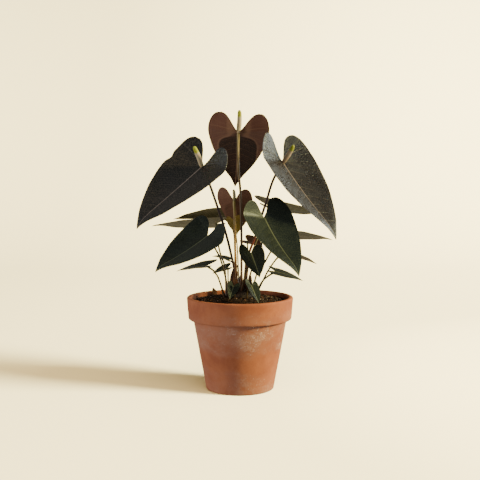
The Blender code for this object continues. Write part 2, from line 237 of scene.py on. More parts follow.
def buildGrain():
    # fine mineral or plant grain: a mask, a height and pale specks, Size in millimetres
    tree, given, result = newGroup("grain", {"Size": 1.0, "Specks": 0.5},
                                   {"Mask": "Float", "Height": "Float", "Specks": "Float"})
    coords = objectCoords(tree)
    scale = calc(tree, "DIVIDE", 1000.0, given["Size"])
    fine = noiseOf(tree, coords, scale, 6.0, 0.7)
    coarse = noiseOf(tree, coords, times(tree, scale, 0.17), 5.0, 0.6)
    cells = addNode(tree, "TexVoronoi", {"Vector": coords, "Scale": times(tree, scale, 0.8)}, feature="F1")
    dots = spread(tree, cells.outputs["Distance"], 0.30, 0.12)
    shown = spread(tree, cells.outputs["Color"], minus(tree, 1.0, given["Specks"]), 1.0)
    putOut(tree, result, Mask=plus(tree, times(tree, fine, 0.45), times(tree, coarse, 0.55)),
           Height=plus(tree, times(tree, fine, 0.6), times(tree, coarse, 0.4)), Specks=times(tree, dots, shown))
    return tree


def buildVenation():
    # a blade's veins, the shield behind its sinus, set apart by painted light and shade, and the arc round that,
    # from the marks that its mesh carries; widths in millimetres, as are the space between veins and the way to the
    # midrib
    tree, given, result = newGroup(
        "venation", {"VeinWidth": 0.5, "RibWidth": 1.2, "NetSize": 2.4},
        {"Veins": "Float", "Rib": "Float", "Net": "Float", "Height": "Float", "Mottle": "Float",
         "Edge": "Float", "Inner": "Float", "Arc": "Float"})
    coords = objectCoords(tree)
    veinOrder, space, toRib = splitUp(tree, attributeOf(tree, "veinMarks", "Vector"))
    along, across, edge = splitUp(tree, attributeOf(tree, "flatPlace", "Vector"))
    wander = times(tree, minus(tree, noiseOf(tree, coords, 60.0, 2.0), 0.5), 0.16)
    order = plus(tree, veinOrder, wander)
    width = times(tree, given["VeinWidth"], minus(tree, 1.0, times(tree, edge, 0.55)))
    away = times(tree, calc(tree, "PINGPONG", order, 0.5), space)
    main = spread(tree, away, times(tree, width, 1.5), times(tree, width, 0.3))
    halfway = times(tree, calc(tree, "PINGPONG", times(tree, order, 3.0), 0.5), times(tree, space, 0.333))
    lesser = spread(tree, halfway, times(tree, width, 0.8), times(tree, width, 0.2))
    edgeLine = times(tree, calc(tree, "ABSOLUTE", minus(tree, edge, 0.91)), 34.0)
    collective = spread(tree, edgeLine, times(tree, given["VeinWidth"], 1.1), 0.1)
    ribWidth = times(tree, given["RibWidth"], minus(tree, 1.0, times(tree, along, 0.7)))
    rib = spread(tree, toRib, ribWidth, times(tree, ribWidth, 0.35))
    cells = addNode(tree, "TexVoronoi", {"Vector": coords, "Scale": calc(tree, "DIVIDE", 1000.0, given["NetSize"])},
                    feature="DISTANCE_TO_EDGE")
    net = spread(tree, cells.outputs["Distance"], 0.16, 0.02)
    veins = most(tree, main, times(tree, lesser, 0.35))
    veins = most(tree, veins, times(tree, collective, 0.55))
    fall = most(tree, most(tree, veins, rib), times(tree, net, 0.3))
    skin = noiseOf(tree, coords, 900.0, 3.0, 0.6)
    # the shield behind the sinus, which the finishes set apart from the lobes with painted light and shade
    behind = spread(tree, along, 0.40, 0.07)
    beside = calc(tree, "DIVIDE", calc(tree, "ABSOLUTE", across), 0.64)
    shield = plus(tree, calc(tree, "POWER", behind, 2.2), calc(tree, "POWER", beside, 2.6))
    shield = plus(tree, shield, times(tree, wander, 1.6))
    arc = times(tree, spread(tree, shield, 0.98, 1.12), spread(tree, shield, 1.36, 1.16))
    # the pale line along the margin is a painted highlight on the blade's edge
    putOut(tree, result, Veins=veins, Rib=rib, Net=net, Arc=arc, Inner=spread(tree, shield, 1.20, 0.86),
           Height=plus(tree, minus(tree, 1.0, fall), times(tree, skin, 0.12)),
           Mottle=noiseOf(tree, coords, 38.0, 5.0, 0.6), Edge=spread(tree, edge, 0.955, 0.995))
    return tree


def buildStreaks():
    # long fibres and small lenticels on stalks, and the share of the stalk's length
    tree, given, result = newGroup("streaks", {"Fineness": 1.0}, {"Mask": "Float", "Height": "Float",
                                                                 "Reach": "Float", "Spots": "Float"})
    coords = objectCoords(tree)
    fibre = noiseOf(tree, placed(tree, coords, (1600, 1600, 60)), given["Fineness"], 4.0, 0.6)
    stretched = placed(tree, coords, (900, 900, 330))
    cells = addNode(tree, "TexVoronoi", {"Vector": stretched, "Scale": given["Fineness"]}, feature="F1")
    coarse = noiseOf(tree, coords, 120.0, 4.0)
    putOut(tree, result, Mask=plus(tree, times(tree, fibre, 0.6), times(tree, coarse, 0.4)), Height=fibre,
           Reach=attributeOf(tree, "reach"), Spots=spread(tree, cells.outputs["Distance"], 0.22, 0.10))
    return tree


grainGroup = buildGrain()
venationGroup = buildVenation()
streaksGroup = buildStreaks()
print("effects ready")


pot = {"height": 130.4, "rimRadius": 75.0, "wall": 6.4, "bandHeight": 31.5, "bandTaper": 2.2, "bandStep": 6.8,
       "footRadius": 47.8, "floor": 8.0, "drainRadius": 7.0, "lipRound": 2.2, "bandRound": 2.8, "footRound": 2.4,
       "sides": 160, "wobble": 0.16, "turningMarks": 0.07, "knocks": 2.2}
# clay tones; the darkest of them is painted shade for the inside of the mouth
clay = {"dark": (0.345, 0.114, 0.060), "light": (0.49, 0.180, 0.086), "streak": (0.50, 0.190, 0.092),
        "bloom": (0.44, 0.220, 0.155), "crust": (0.68, 0.46, 0.36), "speck": (0.92, 0.80, 0.68),
        "paintedMouthShade": (0.10, 0.034, 0.018), "grit": (0.30, 0.085, 0.032), "bloomShown": 0.70, "crustShown": 0.85,
        "paintedMouthShadeShown": 0.86, "gritShown": 0.28}
# heights in metres at which the salts set in and fade out under the band, at the foot and on the band
salts = {"upperStart": (0.052, 0.064), "upperEnd": (0.104, 0.094), "footEnd": (0.038, 0.030), "footShown": 0.42,
         "bandStart": (0.098, 0.101), "bandEnd": (0.118, 0.104), "bandShown": 0.45,
         "saltsToRight": (-0.055, 0.035, 0.30, 1.15)}  # the salts grow across the pot between the first two


def bodyRadius(z):
    top = pot["rimRadius"] - pot["bandTaper"] - pot["bandStep"]
    return pot["footRadius"] + (top - pot["footRadius"]) * z / (pot["height"] - pot["bandHeight"])


def innerRadius(z):
    shoulder = pot["height"] - pot["bandHeight"]
    if z <= shoulder:
        return bodyRadius(z) - pot["wall"]
    narrow = bodyRadius(shoulder) - pot["wall"]
    mouth = pot["rimRadius"] - pot["wall"]
    return narrow + (mouth - narrow) * math.sin((z - shoulder) / pot["bandHeight"] * math.pi / 2)


def arcPoints(middle, radius, start, end, count):
    turns = [math.radians(start + (end - start) * step / (count - 1)) for step in range(count)]
    return [(middle[0] + radius * math.cos(t), middle[1] + radius * math.sin(t)) for t in turns]


def turnedPiece(profile, sides):
    # a ring drawn at the first (radius, height) in millimetres and extruded to each next one
    bpy.ops.object.select_all(action="DESELECT")
    bpy.ops.mesh.primitive_circle_add(vertices=sides, radius=profile[0][0] * mm)
    obj = bpy.context.object
    bpy.ops.object.mode_set(mode="EDIT")
    bpy.ops.mesh.select_all(action="SELECT")
    bpy.ops.transform.translate(value=(0, 0, profile[0][1] * mm))
    for (radius, height), (nextRadius, nextHeight) in zip(profile, profile[1:]):
        bpy.ops.mesh.extrude_region_move(TRANSFORM_OT_translate={"value": (0, 0, (nextHeight - height) * mm)})
        wider = nextRadius / radius
        bpy.ops.transform.resize(value=(wider, wider, 1), center_override=(0, 0, nextHeight * mm))
    bpy.ops.object.mode_set(mode="OBJECT")
    return obj


def evenly(low, high, count):
    return [low + (high - low) * step / count for step in range(count + 1)]


def makePot():
    shoulder = pot["height"] - pot["bandHeight"]
    bandFoot = pot["rimRadius"] - pot["bandTaper"]
    mouth = pot["rimRadius"] - pot["wall"]
    lip, bandRound, footRound = pot["lipRound"], pot["bandRound"], pot["footRound"]
    profile = [(pot["drainRadius"], 0.0)]
    profile += arcPoints((bodyRadius(footRound) - footRound, footRound), footRound, -90, 0, 6)
    profile += [(bodyRadius(z), z) for z in evenly(footRound + 3, shoulder - 1.6, 22)]
    profile += [(bodyRadius(shoulder) + 0.25, shoulder - 0.5), (bodyRadius(shoulder) + 1.1, shoulder)]
    profile += arcPoints((bandFoot - bandRound, shoulder + bandRound), bandRound, -90, 0, 7)
    profile += [(bandFoot + (pot["rimRadius"] - bandFoot) * share, shoulder + bandRound
                 + (pot["height"] - lip - shoulder - bandRound) * share) for share in evenly(0, 1, 8)[1:-1]]
    profile += arcPoints((pot["rimRadius"] - lip, pot["height"] - lip), lip, 0, 90, 6)
    profile += arcPoints((mouth + lip, pot["height"] - lip), lip, 90, 180, 6)
    profile += [(innerRadius(z), z) for z in evenly(pot["height"] - lip - 2.5, pot["floor"], 26)]
    profile += [(pot["drainRadius"], pot["floor"]), (pot["drainRadius"], 0.0)]
    obj = turnedPiece(profile, pot["sides"])
    mergeDoubles(obj)
    # hand-fired unevenness: a slight wobble, turning marks and small knocks on the edges
    for vertex in obj.data.vertices:
        place = vertex.co
        outward = Vector((place.x, place.y, 0)).normalized()
        wobble = noise.noise(place * 22) * pot["wobble"] * mm
        turning = noise.noise(Vector((place.x * 6, place.y * 6, place.z * 420))) * pot["turningMarks"] * mm
        radius = math.hypot(place.x, place.y) / mm
        onEdge = place.z / mm > pot["height"] - 2.6 or abs(place.z / mm - shoulder - 0.8) < 2
        knock = max(0, noise.noise(place * 150 + Vector((3, 1, 7))) - 0.42) * pot["knocks"] * mm if onEdge else 0
        if place.z > 0.5 * mm and radius > innerRadius(place.z / mm) + 1:
            place += outward * (wobble + turning) - Vector((outward.x, outward.y, 1)) * knock
    return obj


def terracottaFinish():
    material, tree, shader = newMaterial("terracotta", Roughness=0.9, **{"Specular IOR Level": 0.25})
    coords = objectCoords(tree)
    grain = useGroup(tree, grainGroup, Size=2.4, Specks=0.6)
    across, _, height = splitUp(tree, coords)
    layered = noiseOf(tree, placed(tree, coords, (9, 9, 60)), 1.0, 5.0, 0.6)
    clouds = noiseOf(tree, coords, 19.0, 7.0, 0.62, 0.4)
    wander = times(tree, minus(tree, noiseOf(tree, coords, 26.0, 4.0), 0.5), 0.034)
    level = plus(tree, height, wander)
    color = mixColor(tree, spread(tree, clouds, 0.32, 0.68), clay["dark"], clay["light"])
    color = mixColor(tree, times(tree, spread(tree, layered, 0.45, 0.75), 0.45), color, clay["streak"])
    # chalky salts: thick under the band, thin near the foot, almost none on the wet ring between
    upper = times(tree, spread(tree, level, *salts["upperStart"]), spread(tree, level, *salts["upperEnd"]))
    lower = times(tree, spread(tree, level, *salts["footEnd"]), salts["footShown"])
    onBand = times(tree, spread(tree, level, *salts["bandStart"]), spread(tree, level, *salts["bandEnd"]))
    zones = most(tree, most(tree, upper, lower), times(tree, onBand, salts["bandShown"]))
    patches = noiseOf(tree, placed(tree, coords, (24, 24, 38), (0.3, 0.1, 0.2)), 1.0, 9.0, 0.74, 0.2)
    bloom = times(tree, zones, spread(tree, patches, 0.28, 0.58))
    color = mixColor(tree, times(tree, bloom, clay["bloomShown"]), color, clay["bloom"])
    crust = times(tree, zones, spread(tree, patches, 0.46, 0.60))
    crust = times(tree, crust, spread(tree, grain["Mask"], 0.44, 0.60))
    # the salts and their pale specks fewer to the left and more to the right of the pot
    saltsToRight = spread(tree, across, *salts["saltsToRight"])
    crust = times(tree, crust, saltsToRight)
    color = mixColor(tree, times(tree, crust, clay["crustShown"]), color, clay["crust"])
    dots = times(tree, grain["Specks"], times(tree, zones, spread(tree, patches, 0.42, 0.60)))
    color = mixColor(tree, times(tree, dots, saltsToRight), color, clay["speck"])
    # painted shade: darker clay inside the mouth, where shade falls in the recess
    radius = addNode(tree, "VectorMath", {0: placed(tree, coords, (1, 1, 0))}, operation="LENGTH").outputs["Value"]
    inside = times(tree, spread(tree, radius, 0.0695, 0.0672), spread(tree, height, 0.110, 0.112))
    color = mixColor(tree, times(tree, inside, clay["paintedMouthShadeShown"]), color, clay["paintedMouthShade"])
    grit = times(tree, spread(tree, grain["Mask"], 0.40, 0.66), clay["gritShown"])
    color = mixColor(tree, grit, color, clay["grit"])
    tree.links.new(color, shader.inputs["Base Color"])
    tree.links.new(spread(tree, bloom, 0.0, 1.0, 0.82, 0.96), shader.inputs["Roughness"])
    relief = plus(tree, grain["Height"], times(tree, crust, 0.8))
    bumped(tree, shader, plus(tree, relief, times(tree, layered, 0.6)), 0.35, 0.5 * mm)
    return material


finishPiece(makePot(), "terracottaPot", [terracottaFinish()], ["pot"], 55)
print("pot turned")


soil = {"headspace": 5.8, "mound": 5.8, "plateau": 26.0, "clearance": 0.3, "sides": 150, "rings": 52, "lumps": 1.5,
        "settled": 0.7, "fibres": 46, "seed": 11}
# what lies on it: kind, count, the spans of its three sizes, lift, finish and smoothing angle
bits = {"soilCrumbs": ("crumb", 900, [(1.2, 3.4), (1.2, 3.2), (0.9, 2.2)], 0.35, "crumbFinish", 35),
        "barkChips": ("chip", 130, [(2.2, 6.5), (1.4, 3.6), (0.7, 1.4)], 0.7, "barkFinish", 30),
        "perliteGrains": ("grain", 95, [(0.9, 2.1), (0.9, 2.0), (0.8, 1.6)], 0.75, "perliteFinish", 50)}
leaningBark = {"place": (-37.6, 50.5, 130.2), "sizes": (8.4, 2.4, 10.0), "turns": (-10, 6, 34)}
# dark, light and speck colours, size of the grain in millimetres and share of specks
soilTones = {"soilBedFinish": ((0.010, 0.006, 0.004), (0.040, 0.024, 0.015), (0.20, 0.13, 0.08), 1.3, 0.10),
             "crumbFinish": ((0.008, 0.005, 0.0035), (0.050, 0.030, 0.018), (0.24, 0.16, 0.10), 0.9, 0.08),
             "barkFinish": ((0.022, 0.010, 0.006), (0.105, 0.050, 0.026), (0.26, 0.15, 0.08), 1.6, 0.10),
             "perliteFinish": ((0.22, 0.165, 0.13), (0.44, 0.35, 0.29), (0.6, 0.5, 0.44), 0.7, 0.3),
             "fibreFinish": ((0.05, 0.026, 0.013), (0.16, 0.09, 0.045), (0.3, 0.2, 0.1), 1.0, 0.1),
             "leaningBarkFinish": ((0.022, 0.011, 0.007), (0.12, 0.055, 0.028), (0.25, 0.14, 0.08), 1.8, 0.1)}
soilEdge = pot["height"] - soil["headspace"]
soilMouth = innerRadius(soilEdge) - soil["clearance"]


def soilHeight(radius):
    if radius <= soil["plateau"]:
        return soilEdge + soil["mound"]
    share = (radius - soil["plateau"]) / (soilMouth - soil["plateau"])
    return soilEdge + soil["mound"] * (0.5 + 0.5 * math.cos(math.pi * min(share, 1)))


def soilLump(x, y):
    place = Vector((x, y, 0))
    lump = noise.noise(place * 0.09) * 0.9 + noise.noise(place * 0.24) * 0.7 + abs(noise.noise(place * 0.62)) * 0.8
    calm = 1 - 0.75 * smoothStep(math.hypot(x, y), 24, 12)
    return (lump - 0.35) * soil["lumps"] * calm


def makeSoil():
    low = pot["floor"] + soil["clearance"]
    profile = [(0.6, low)] + [(innerRadius(z) - soil["clearance"], z) for z in evenly(low, soilEdge - 1.2, 12)]
    profile += [(radius, soilHeight(radius)) for radius in evenly(soilMouth, 0.6, soil["rings"])]
    obj = turnedPiece(profile, soil["sides"])
    onlySelect(obj)
    bpy.ops.object.mode_set(mode="EDIT")
    bpy.ops.mesh.select_all(action="DESELECT")
    bpy.ops.object.mode_set(mode="OBJECT")
    for vertex in obj.data.vertices:
        vertex.select = math.hypot(vertex.co.x, vertex.co.y) < 0.7 * mm
    bpy.ops.object.mode_set(mode="EDIT")
    bpy.ops.mesh.edge_face_add()
    bpy.ops.object.mode_set(mode="OBJECT")
    mergeDoubles(obj)
    for vertex in obj.data.vertices:
        if vertex.co.z > (soilEdge - 0.6) * mm:
            x, y = vertex.co.x / mm, vertex.co.y / mm
            nearWall = smoothStep(math.hypot(x, y), soilMouth - 0.5, soilMouth - 5)
            vertex.co.z += (soilLump(x, y) * (0.35 + 0.65 * nearWall) - soil["settled"]) * mm
    return obj


def soilFinish(name):
    dark, light, speck, size, specks = soilTones[name]
    material, tree, shader = newMaterial(name, Roughness=0.95, **{"Specular IOR Level": 0.2})
    grain = useGroup(tree, grainGroup, Size=size, Specks=specks)
    color = mixColor(tree, spread(tree, grain["Mask"], 0.36, 0.64), dark, light)
    color = mixColor(tree, times(tree, grain["Specks"], 0.7), color, speck)
    tree.links.new(color, shader.inputs["Base Color"])
    tree.links.new(spread(tree, grain["Mask"], 0.3, 0.7, 0.95, 0.77), shader.inputs["Roughness"])
    bumped(tree, shader, grain["Height"], 0.8, 0.8 * mm)
    return material


def bitShape(kind, seed):
    # one crumb, bark chip or grain about a millimetre across, to be copied
    bpy.ops.object.select_all(action="DESELECT")
    if kind == "chip":
        bpy.ops.mesh.primitive_cube_add(size=1)
        obj = bpy.context.object
        bpy.ops.object.mode_set(mode="EDIT")
        bpy.ops.mesh.select_all(action="SELECT")
        bpy.ops.mesh.bevel(offset=0.16, segments=1)
        bpy.ops.object.mode_set(mode="OBJECT")
    else:
        bpy.ops.mesh.primitive_ico_sphere_add(subdivisions=2 if kind == "grain" else 1, radius=0.55)
        obj = bpy.context.object
    for vertex in obj.data.vertices:
        shift = noise.noise_vector(vertex.co * 1.7 + Vector((seed, seed * 2.3, 1)))
        vertex.co += shift * (0.34 if kind != "chip" else 0.22)
    return obj


def scatter(kind, count, spans, lift, seed):
    # copies of three shapes, each turned and sized by a seeded draw and laid on the soil
    draw = random.Random(seed)
    shapes = [bitShape(kind, seed + step * 5.3) for step in range(3)]
    copies = []
    for _ in range(count):
        copy = draw.choice(shapes).copy()
        copy.data = copy.data.copy()
        bpy.context.collection.objects.link(copy)
        radius = math.sqrt(draw.uniform(0.04, 1)) * (soilMouth - 1.6)
        turn = draw.uniform(0, math.tau)
        x, y = radius * math.cos(turn), radius * math.sin(turn)
        sizes = [draw.uniform(*span) * mm for span in spans]
        size = draw.uniform(0.6, 1.25)
        spin = Matrix.Rotation(draw.uniform(0, math.tau), 4, "Z") @ Matrix.Rotation(draw.uniform(-0.7, 0.7), 4, "X")
        spin = spin @ Matrix.Rotation(draw.uniform(-0.7, 0.7), 4, "Y")
        up = soilHeight(radius) + soilLump(x, y) - soil["settled"] + lift * size
        stretch = Matrix.Diagonal((*[value * size for value in sizes], 1))
        copy.data.transform(Matrix.Translation(Vector((x * mm, y * mm, up * mm))) @ spin @ stretch)
        copies.append(copy)
    for shape in shapes:
        bpy.data.objects.remove(shape, do_unlink=True)
    return joinAll(copies)


def plainRod(points, radii, sides=8):
    # a round rod along the points, as a curve with a bevel turned into a mesh
    bpy.ops.object.select_all(action="DESELECT")
    bpy.ops.curve.primitive_bezier_curve_add()
    obj = bpy.context.object
    curve = obj.data
    curve.splines.clear()
    curve.dimensions = "3D"
    curve.bevel_depth = 1
    curve.bevel_resolution = sides // 4 - 1
    curve.use_fill_caps = True
    spline = curve.splines.new("POLY")
    spline.points.add(len(points) - 1)
    for target, point, radius in zip(spline.points, points, radii):
        target.co = (*point, 1)
        target.radius = radius
    bpy.ops.object.convert(target="MESH")
    obj = bpy.context.object
    mergeDoubles(obj)
    return obj


def makeFibres():
    draw = random.Random(soil["seed"] + 9)
    rods = []
    for _ in range(soil["fibres"]):
        radius = math.sqrt(draw.uniform(0.06, 0.95)) * (soilMouth - 4)
        turn, heading, length = draw.uniform(0, math.tau), draw.uniform(0, math.tau), draw.uniform(4, 11)
        points = []
        for share in evenly(-0.5, 0.5, 7):
            bow = draw.uniform(-0.5, 0.5)
            x = radius * math.cos(turn) + share * length * math.cos(heading) - bow * math.sin(heading)
            y = radius * math.sin(turn) + share * length * math.sin(heading) + bow * math.cos(heading)
            reach = min(1, (soilMouth - 1) / max(math.hypot(x, y), 1))
            x, y = x * reach, y * reach
            hump = 0.9 * (0.25 - share * share) * draw.uniform(0.5, 2)
            points.append(Vector((x, y, soilHeight(math.hypot(x, y)) + soilLump(x, y) + 0.1 + hump)) * mm)
        thick = draw.uniform(0.16, 0.34) * mm
        rods.append(plainRod(points, [thick] * len(points), 4))
    return joinAll(rods)


def makeLeaningBark():
    # a sliver of bark that leans on the back of the mouth and stands a little above the rim
    bpy.ops.object.select_all(action="DESELECT")
    bpy.ops.mesh.primitive_cube_add(size=1)
    obj = bpy.context.object
    bpy.ops.object.mode_set(mode="EDIT")
    bpy.ops.mesh.select_all(action="SELECT")
    bpy.ops.mesh.subdivide(number_cuts=5)
    bpy.ops.object.mode_set(mode="OBJECT")
    for vertex in obj.data.vertices:
        ragged = noise.noise_vector(vertex.co * 2.6 + Vector((5, 2, 8)))
        vertex.co += ragged * 0.20
        peak = smoothStep(vertex.co.z, -0.2, 0.6)
        vertex.co.x = vertex.co.x * (1 - 0.8 * peak) - 0.24 * peak
    spin = Matrix.Identity(4)
    for axis, turn in zip("XYZ", leaningBark["turns"]):
        spin = Matrix.Rotation(math.radians(turn), 4, axis) @ spin
    stretch = Matrix.Diagonal((*[size * mm for size in leaningBark["sizes"]], 1))
    obj.data.transform(Matrix.Translation(Vector(leaningBark["place"]) * mm) @ spin @ stretch)
    return obj


finishPiece(makeSoil(), "soilBed", [soilFinish("soilBedFinish")], ["soil"], 80)
for order, (name, (kind, count, spans, lift, finish, angle)) in enumerate(bits.items()):
    loose = scatter(kind, count, spans, lift, soil["seed"] + order)
    finishPiece(loose, name, [soilFinish(finish)], smoothAngle=angle)
finishPiece(makeFibres(), "soilFibres", [soilFinish("fibreFinish")])
finishPiece(makeLeaningBark(), "leaningBark", [soilFinish("leaningBarkFinish")], smoothAngle=30)
print("soil laid")


crown = {"radius": 17.5, "edge": 3.0, "dome": 9.0, "scars": 34, "seed": 5, "speck": (0.12, 0.08, 0.055),
         "mound": ((0.006, 0.003, 0.0025), (0.028, 0.013, 0.010)),
         "stubs": ((0.008, 0.004, 0.003), (0.045, 0.019, 0.013))}
goldenTurn = 2.39996  # radians from one old leaf base to the next


def crownHeight(radius):
    return crown["edge"] + crown["dome"] * (1 - (radius / crown["radius"]) ** 2)


def makeCrown():
    bpy.ops.object.select_all(action="DESELECT")
    bpy.ops.mesh.primitive_uv_sphere_add(segments=96, ring_count=60, radius=1)
    obj = bpy.context.object
    for vertex in obj.data.vertices:
        flat = Vector((vertex.co.x, vertex.co.y))
        radius = flat.length ** 0.8 * crown["radius"] if flat.length > 0 else 0
        direction = flat.normalized() if flat.length > 0 else flat
        if vertex.co.z >= 0:
            height = crownHeight(radius) * (1 if vertex.co.z > 0.02 else 0.35)
        else:
            height = -1.2
        ribs = noise.noise(Vector((direction.x * 3.2, direction.y * 3.2, radius * 0.05)))
        lump = noise.noise(Vector((direction.x * radius, direction.y * radius, height)) * 0.34)
        radius *= 1 + 0.05 * ribs
        height += (1.1 * ribs * min(radius / 8, 1) + 1.2 * lump) * (vertex.co.z >= 0)
        vertex.co = Vector((direction.x * radius, direction.y * radius, 0)) * mm
        vertex.co.z = plantBase + height * mm
    return obj


def makeScars():
    # old leaf bases: short pointed stubs that stand round the crown
    draw = random.Random(crown["seed"])
    bpy.ops.object.select_all(action="DESELECT")
    bpy.ops.mesh.primitive_cone_add(vertices=10, radius1=1, radius2=0.28, depth=2)
    stub = bpy.context.object
    bpy.ops.object.mode_set(mode="EDIT")
    bpy.ops.mesh.select_all(action="SELECT")
    bpy.ops.mesh.subdivide(number_cuts=2)
    bpy.ops.object.mode_set(mode="OBJECT")
    copies = []
    for step in range(crown["scars"]):
        copy = stub.copy()
        copy.data = copy.data.copy()
        bpy.context.collection.objects.link(copy)
        turn = step * goldenTurn + draw.uniform(-0.2, 0.2)
        radius = crown["radius"] * math.sqrt((step + 1) / crown["scars"]) * 0.93
        tall, wide = draw.uniform(2.2, 4.6), draw.uniform(1.0, 2.1)
        for vertex in copy.data.vertices:
            vertex.co += noise.noise_vector(vertex.co * 1.4 + Vector((step * 3.1, 0, 0))) * 0.16
        lean = Matrix.Rotation(turn, 4, "Z") @ Matrix.Rotation(0.15 + 0.75 * radius / crown["radius"], 4, "Y")
        place = Vector((radius * math.cos(turn), radius * math.sin(turn), crownHeight(radius) + 0.6))
        stretch = Matrix.Diagonal((wide * 0.6 * mm, wide * mm, tall * mm, 1))
        copy.data.transform(Matrix.Translation(place * mm + Vector((0, 0, plantBase))) @ lean @ stretch)
        copies.append(copy)
    bpy.data.objects.remove(stub, do_unlink=True)
    return joinAll(copies)


def crownFinish(name, dark, light):
    material, tree, shader = newMaterial(name, Roughness=0.75)
    grain = useGroup(tree, grainGroup, Size=1.5, Specks=0.12)
    color = mixColor(tree, spread(tree, grain["Mask"], 0.36, 0.64), dark, light)
    color = mixColor(tree, times(tree, grain["Specks"], 0.4), color, crown["speck"])
    tree.links.new(color, shader.inputs["Base Color"])
    tree.links.new(spread(tree, grain["Mask"], 0.3, 0.7, 0.85, 0.6), shader.inputs["Roughness"])
    bumped(tree, shader, grain["Height"], 0.7, 0.8 * mm)
    return material


finishPiece(makeCrown(), "crownMound", [crownFinish("crownFinish", *crown["mound"])], ["crown"], 60)
finishPiece(makeScars(), "crownScars", [crownFinish("scarFinish", *crown["stubs"])], smoothAngle=45)
print("crown set")


# Half of a heart-shaped blade: along the midrib from the sinus, and across it, as shares of the
# length and of the half width; the first points run round the lobe behind the sinus.
heartSinus = [(-0.25, 0.60), (-0.232, 0.46), (-0.178, 0.32), (-0.08, 0.15), (0, 0)]
heartMargin = [(-0.25, 0.60), (-0.238, 0.76), (-0.17, 0.91), (-0.04, 1), (0.14, 0.99), (0.33, 0.90), (0.50, 0.76),
               (0.66, 0.57), (0.79, 0.37), (0.885, 0.19), (0.95, 0.08), (1, 0)]
lanceMargin = [(0, 0), (0.04, 0.60), (0.20, 0.95), (0.45, 1), (0.75, 0.62), (0.93, 0.20), (1, 0)]

# Where the midrib starts, its compass heading, downward pitch and roll, length and half width, the bend
# along it and at its tip, and the fold, lobe lift and lobe length of the left and right halves.
bladeKeys = ("root", "heading", "pitch", "roll", "length", "halfWidth", "bend", "tipBend", "fold", "lift", "lobe")
spathes = {
    "left": ((-51.5, -38, 181.7), -149, 39, -13, 126, 47.5, -3, 28, (0, 42), (42, 19), (1, 1)),
    "top": ((-2.2, 6, 230.1), 91, 23, 7, 128, 43, 23, 26, (4, 14), (24, 22), (1.07, 1.09)),
    "right": ((60.3, 5, 188.4), -38, 52, 2, 137, 49.5, -10, 29, (36, 13), (9, 36), (1.07, 1.12)),
    "mid": ((-8.3, 22, 134.8), 78, 50, 2, 57, 26, 7, 9, (14, 22), (26, 19), (1.26, 1.06)),
}
leaves = {
    "front_right": ((33.6, -48, 112.1), -55, 51, -7, 101, 37.5, -19, 35, (43, 2), (1, 42), (1.16, 0.9)),
    "front_left": ((-43.8, -40, 88.9), -158, 36, -7, 88, 38.5, -14, 32, (-10, 39), (42, 17), (1, 0.85)),
    "front_small": ((15.5, -45, 65.1), -76, 31, 6, 49, 17, 6, 17, (22, 10), (11, 33), (0.98, 1.17)),
    "back_left_upper": ((-23, 70, 107.2), 186, -2, 17, 76, 30, 3, 10, (24, 18), (23, 15), (0.9, 0.9)),
    "back_left_lower": ((-35.4, 74, 99.1), 189, 2, 15, 96, 31, -4, 15, (9, 2), (16, 15), (0.70, 0.70)),
    "back_right_upper": ((43.5, 50, 125.9), -15, 12, -14, 83, 34, -13, 11, (4, 13), (14, 9), (1, 1)),
    "back_right_middle": ((61.2, 50, 83.7), -17, 1, -17, 76, 29.5, 4, 14, (4, 6), (15, 15), (1, 1)),
    "back_right_lower": ((60.8, 15, 58.9), 15, 12, -10, 54, 20, 8, 10, (12, 12), (15, 15), (1, 1)),
    "low_left": ((-46.5, -16, 45.3), 156, 6, -11, 49, 18.5, 10, 9, (10, 12), (4, 13), (1.08, 0.98)),
    "low_right": ((49.5, -12, 36.9), 1, 13, 10, 41, 18.5, 11, 9, (1, 1), (12, 7), (0.98, 1.04)),
    "inner_left_upper": ((-18.1, 36, 48.4), 168, -23, -9, 24, 9.6, 23, 10, (17, 18), (1, 15), (1, 1)),
    "inner_left_lower": ((-17.5, 28, 37.7), 186, 14, -21, 24, 9.6, 13, 11, (15, 18), (15, 17), (1, 0.98)),
    "basal_left": ((-8.9, -35, 19.2), -101, 28, -18, 25, 8.7, 18, 10, (21, 22), (15, 15), (1, 1)),
    "basal_right": ((15.5, -40, 20.6), -66, 39, -15, 31, 11, 4, 7, (16, 17), (14, 22), (0.9, 1.05)),
    "back_centre": ((-8.7, 27, 106.5), 74, 50, -15, 25, 11, 19, 11, (18, 18), (15, 15), (1.02, 1)),
    "back_centre_right": ((10.3, 40, 76.2), 36, 11, -32, 29, 11, 21, 10, (17, 22), (15, 15), (1, 1)),
}
sheaths = {
    "left": ((-0.57, -0.63), -90, -85, 0, 36, 5.5, -6, 0, (40, 40), (0, 0), (1, 1)),
    "right": ((0.8, -0.2), -60, -82, 0, 27, 4.5, -6, 0, (40, 40), (0, 0), (1, 1)),
    "back": ((0, 0.86), 90, -78, 0, 24, 4, -6, 0, (40, 40), (0, 0), (1, 1)),
}
sheathSink = 1.5  # how deep a sheath's root stands in the crown

# shallow notches in a margin: the side, and place, reach and depth as shares of the length and half width
dents = {"left": {"side": -1, "along": 0.12, "reach": 0.055, "depth": 0.07},
         "right": {"side": -1, "along": 0.30, "reach": 0.055, "depth": 0.02}}
# thickness in millimetres, rows of faces along the midrib and beside the sinus, and faces across each half
sheets = {("spathe", "large"): (0.55, 104, 28, 38), ("spathe", "small"): (0.55, 60, 16, 24),
          ("leaf", "large"): (0.5, 92, 25, 34), ("leaf", "small"): (0.4, 44, 12, 16),
          ("sheath", "small"): (0.4, 46, 0, 14)}
veins = {"lateral": 9.0, "basal": 4.0, "forward": 0.28, "quilt": 0.12, "groove": 0.40, "ripple": 0.9, "curl": 0.7}


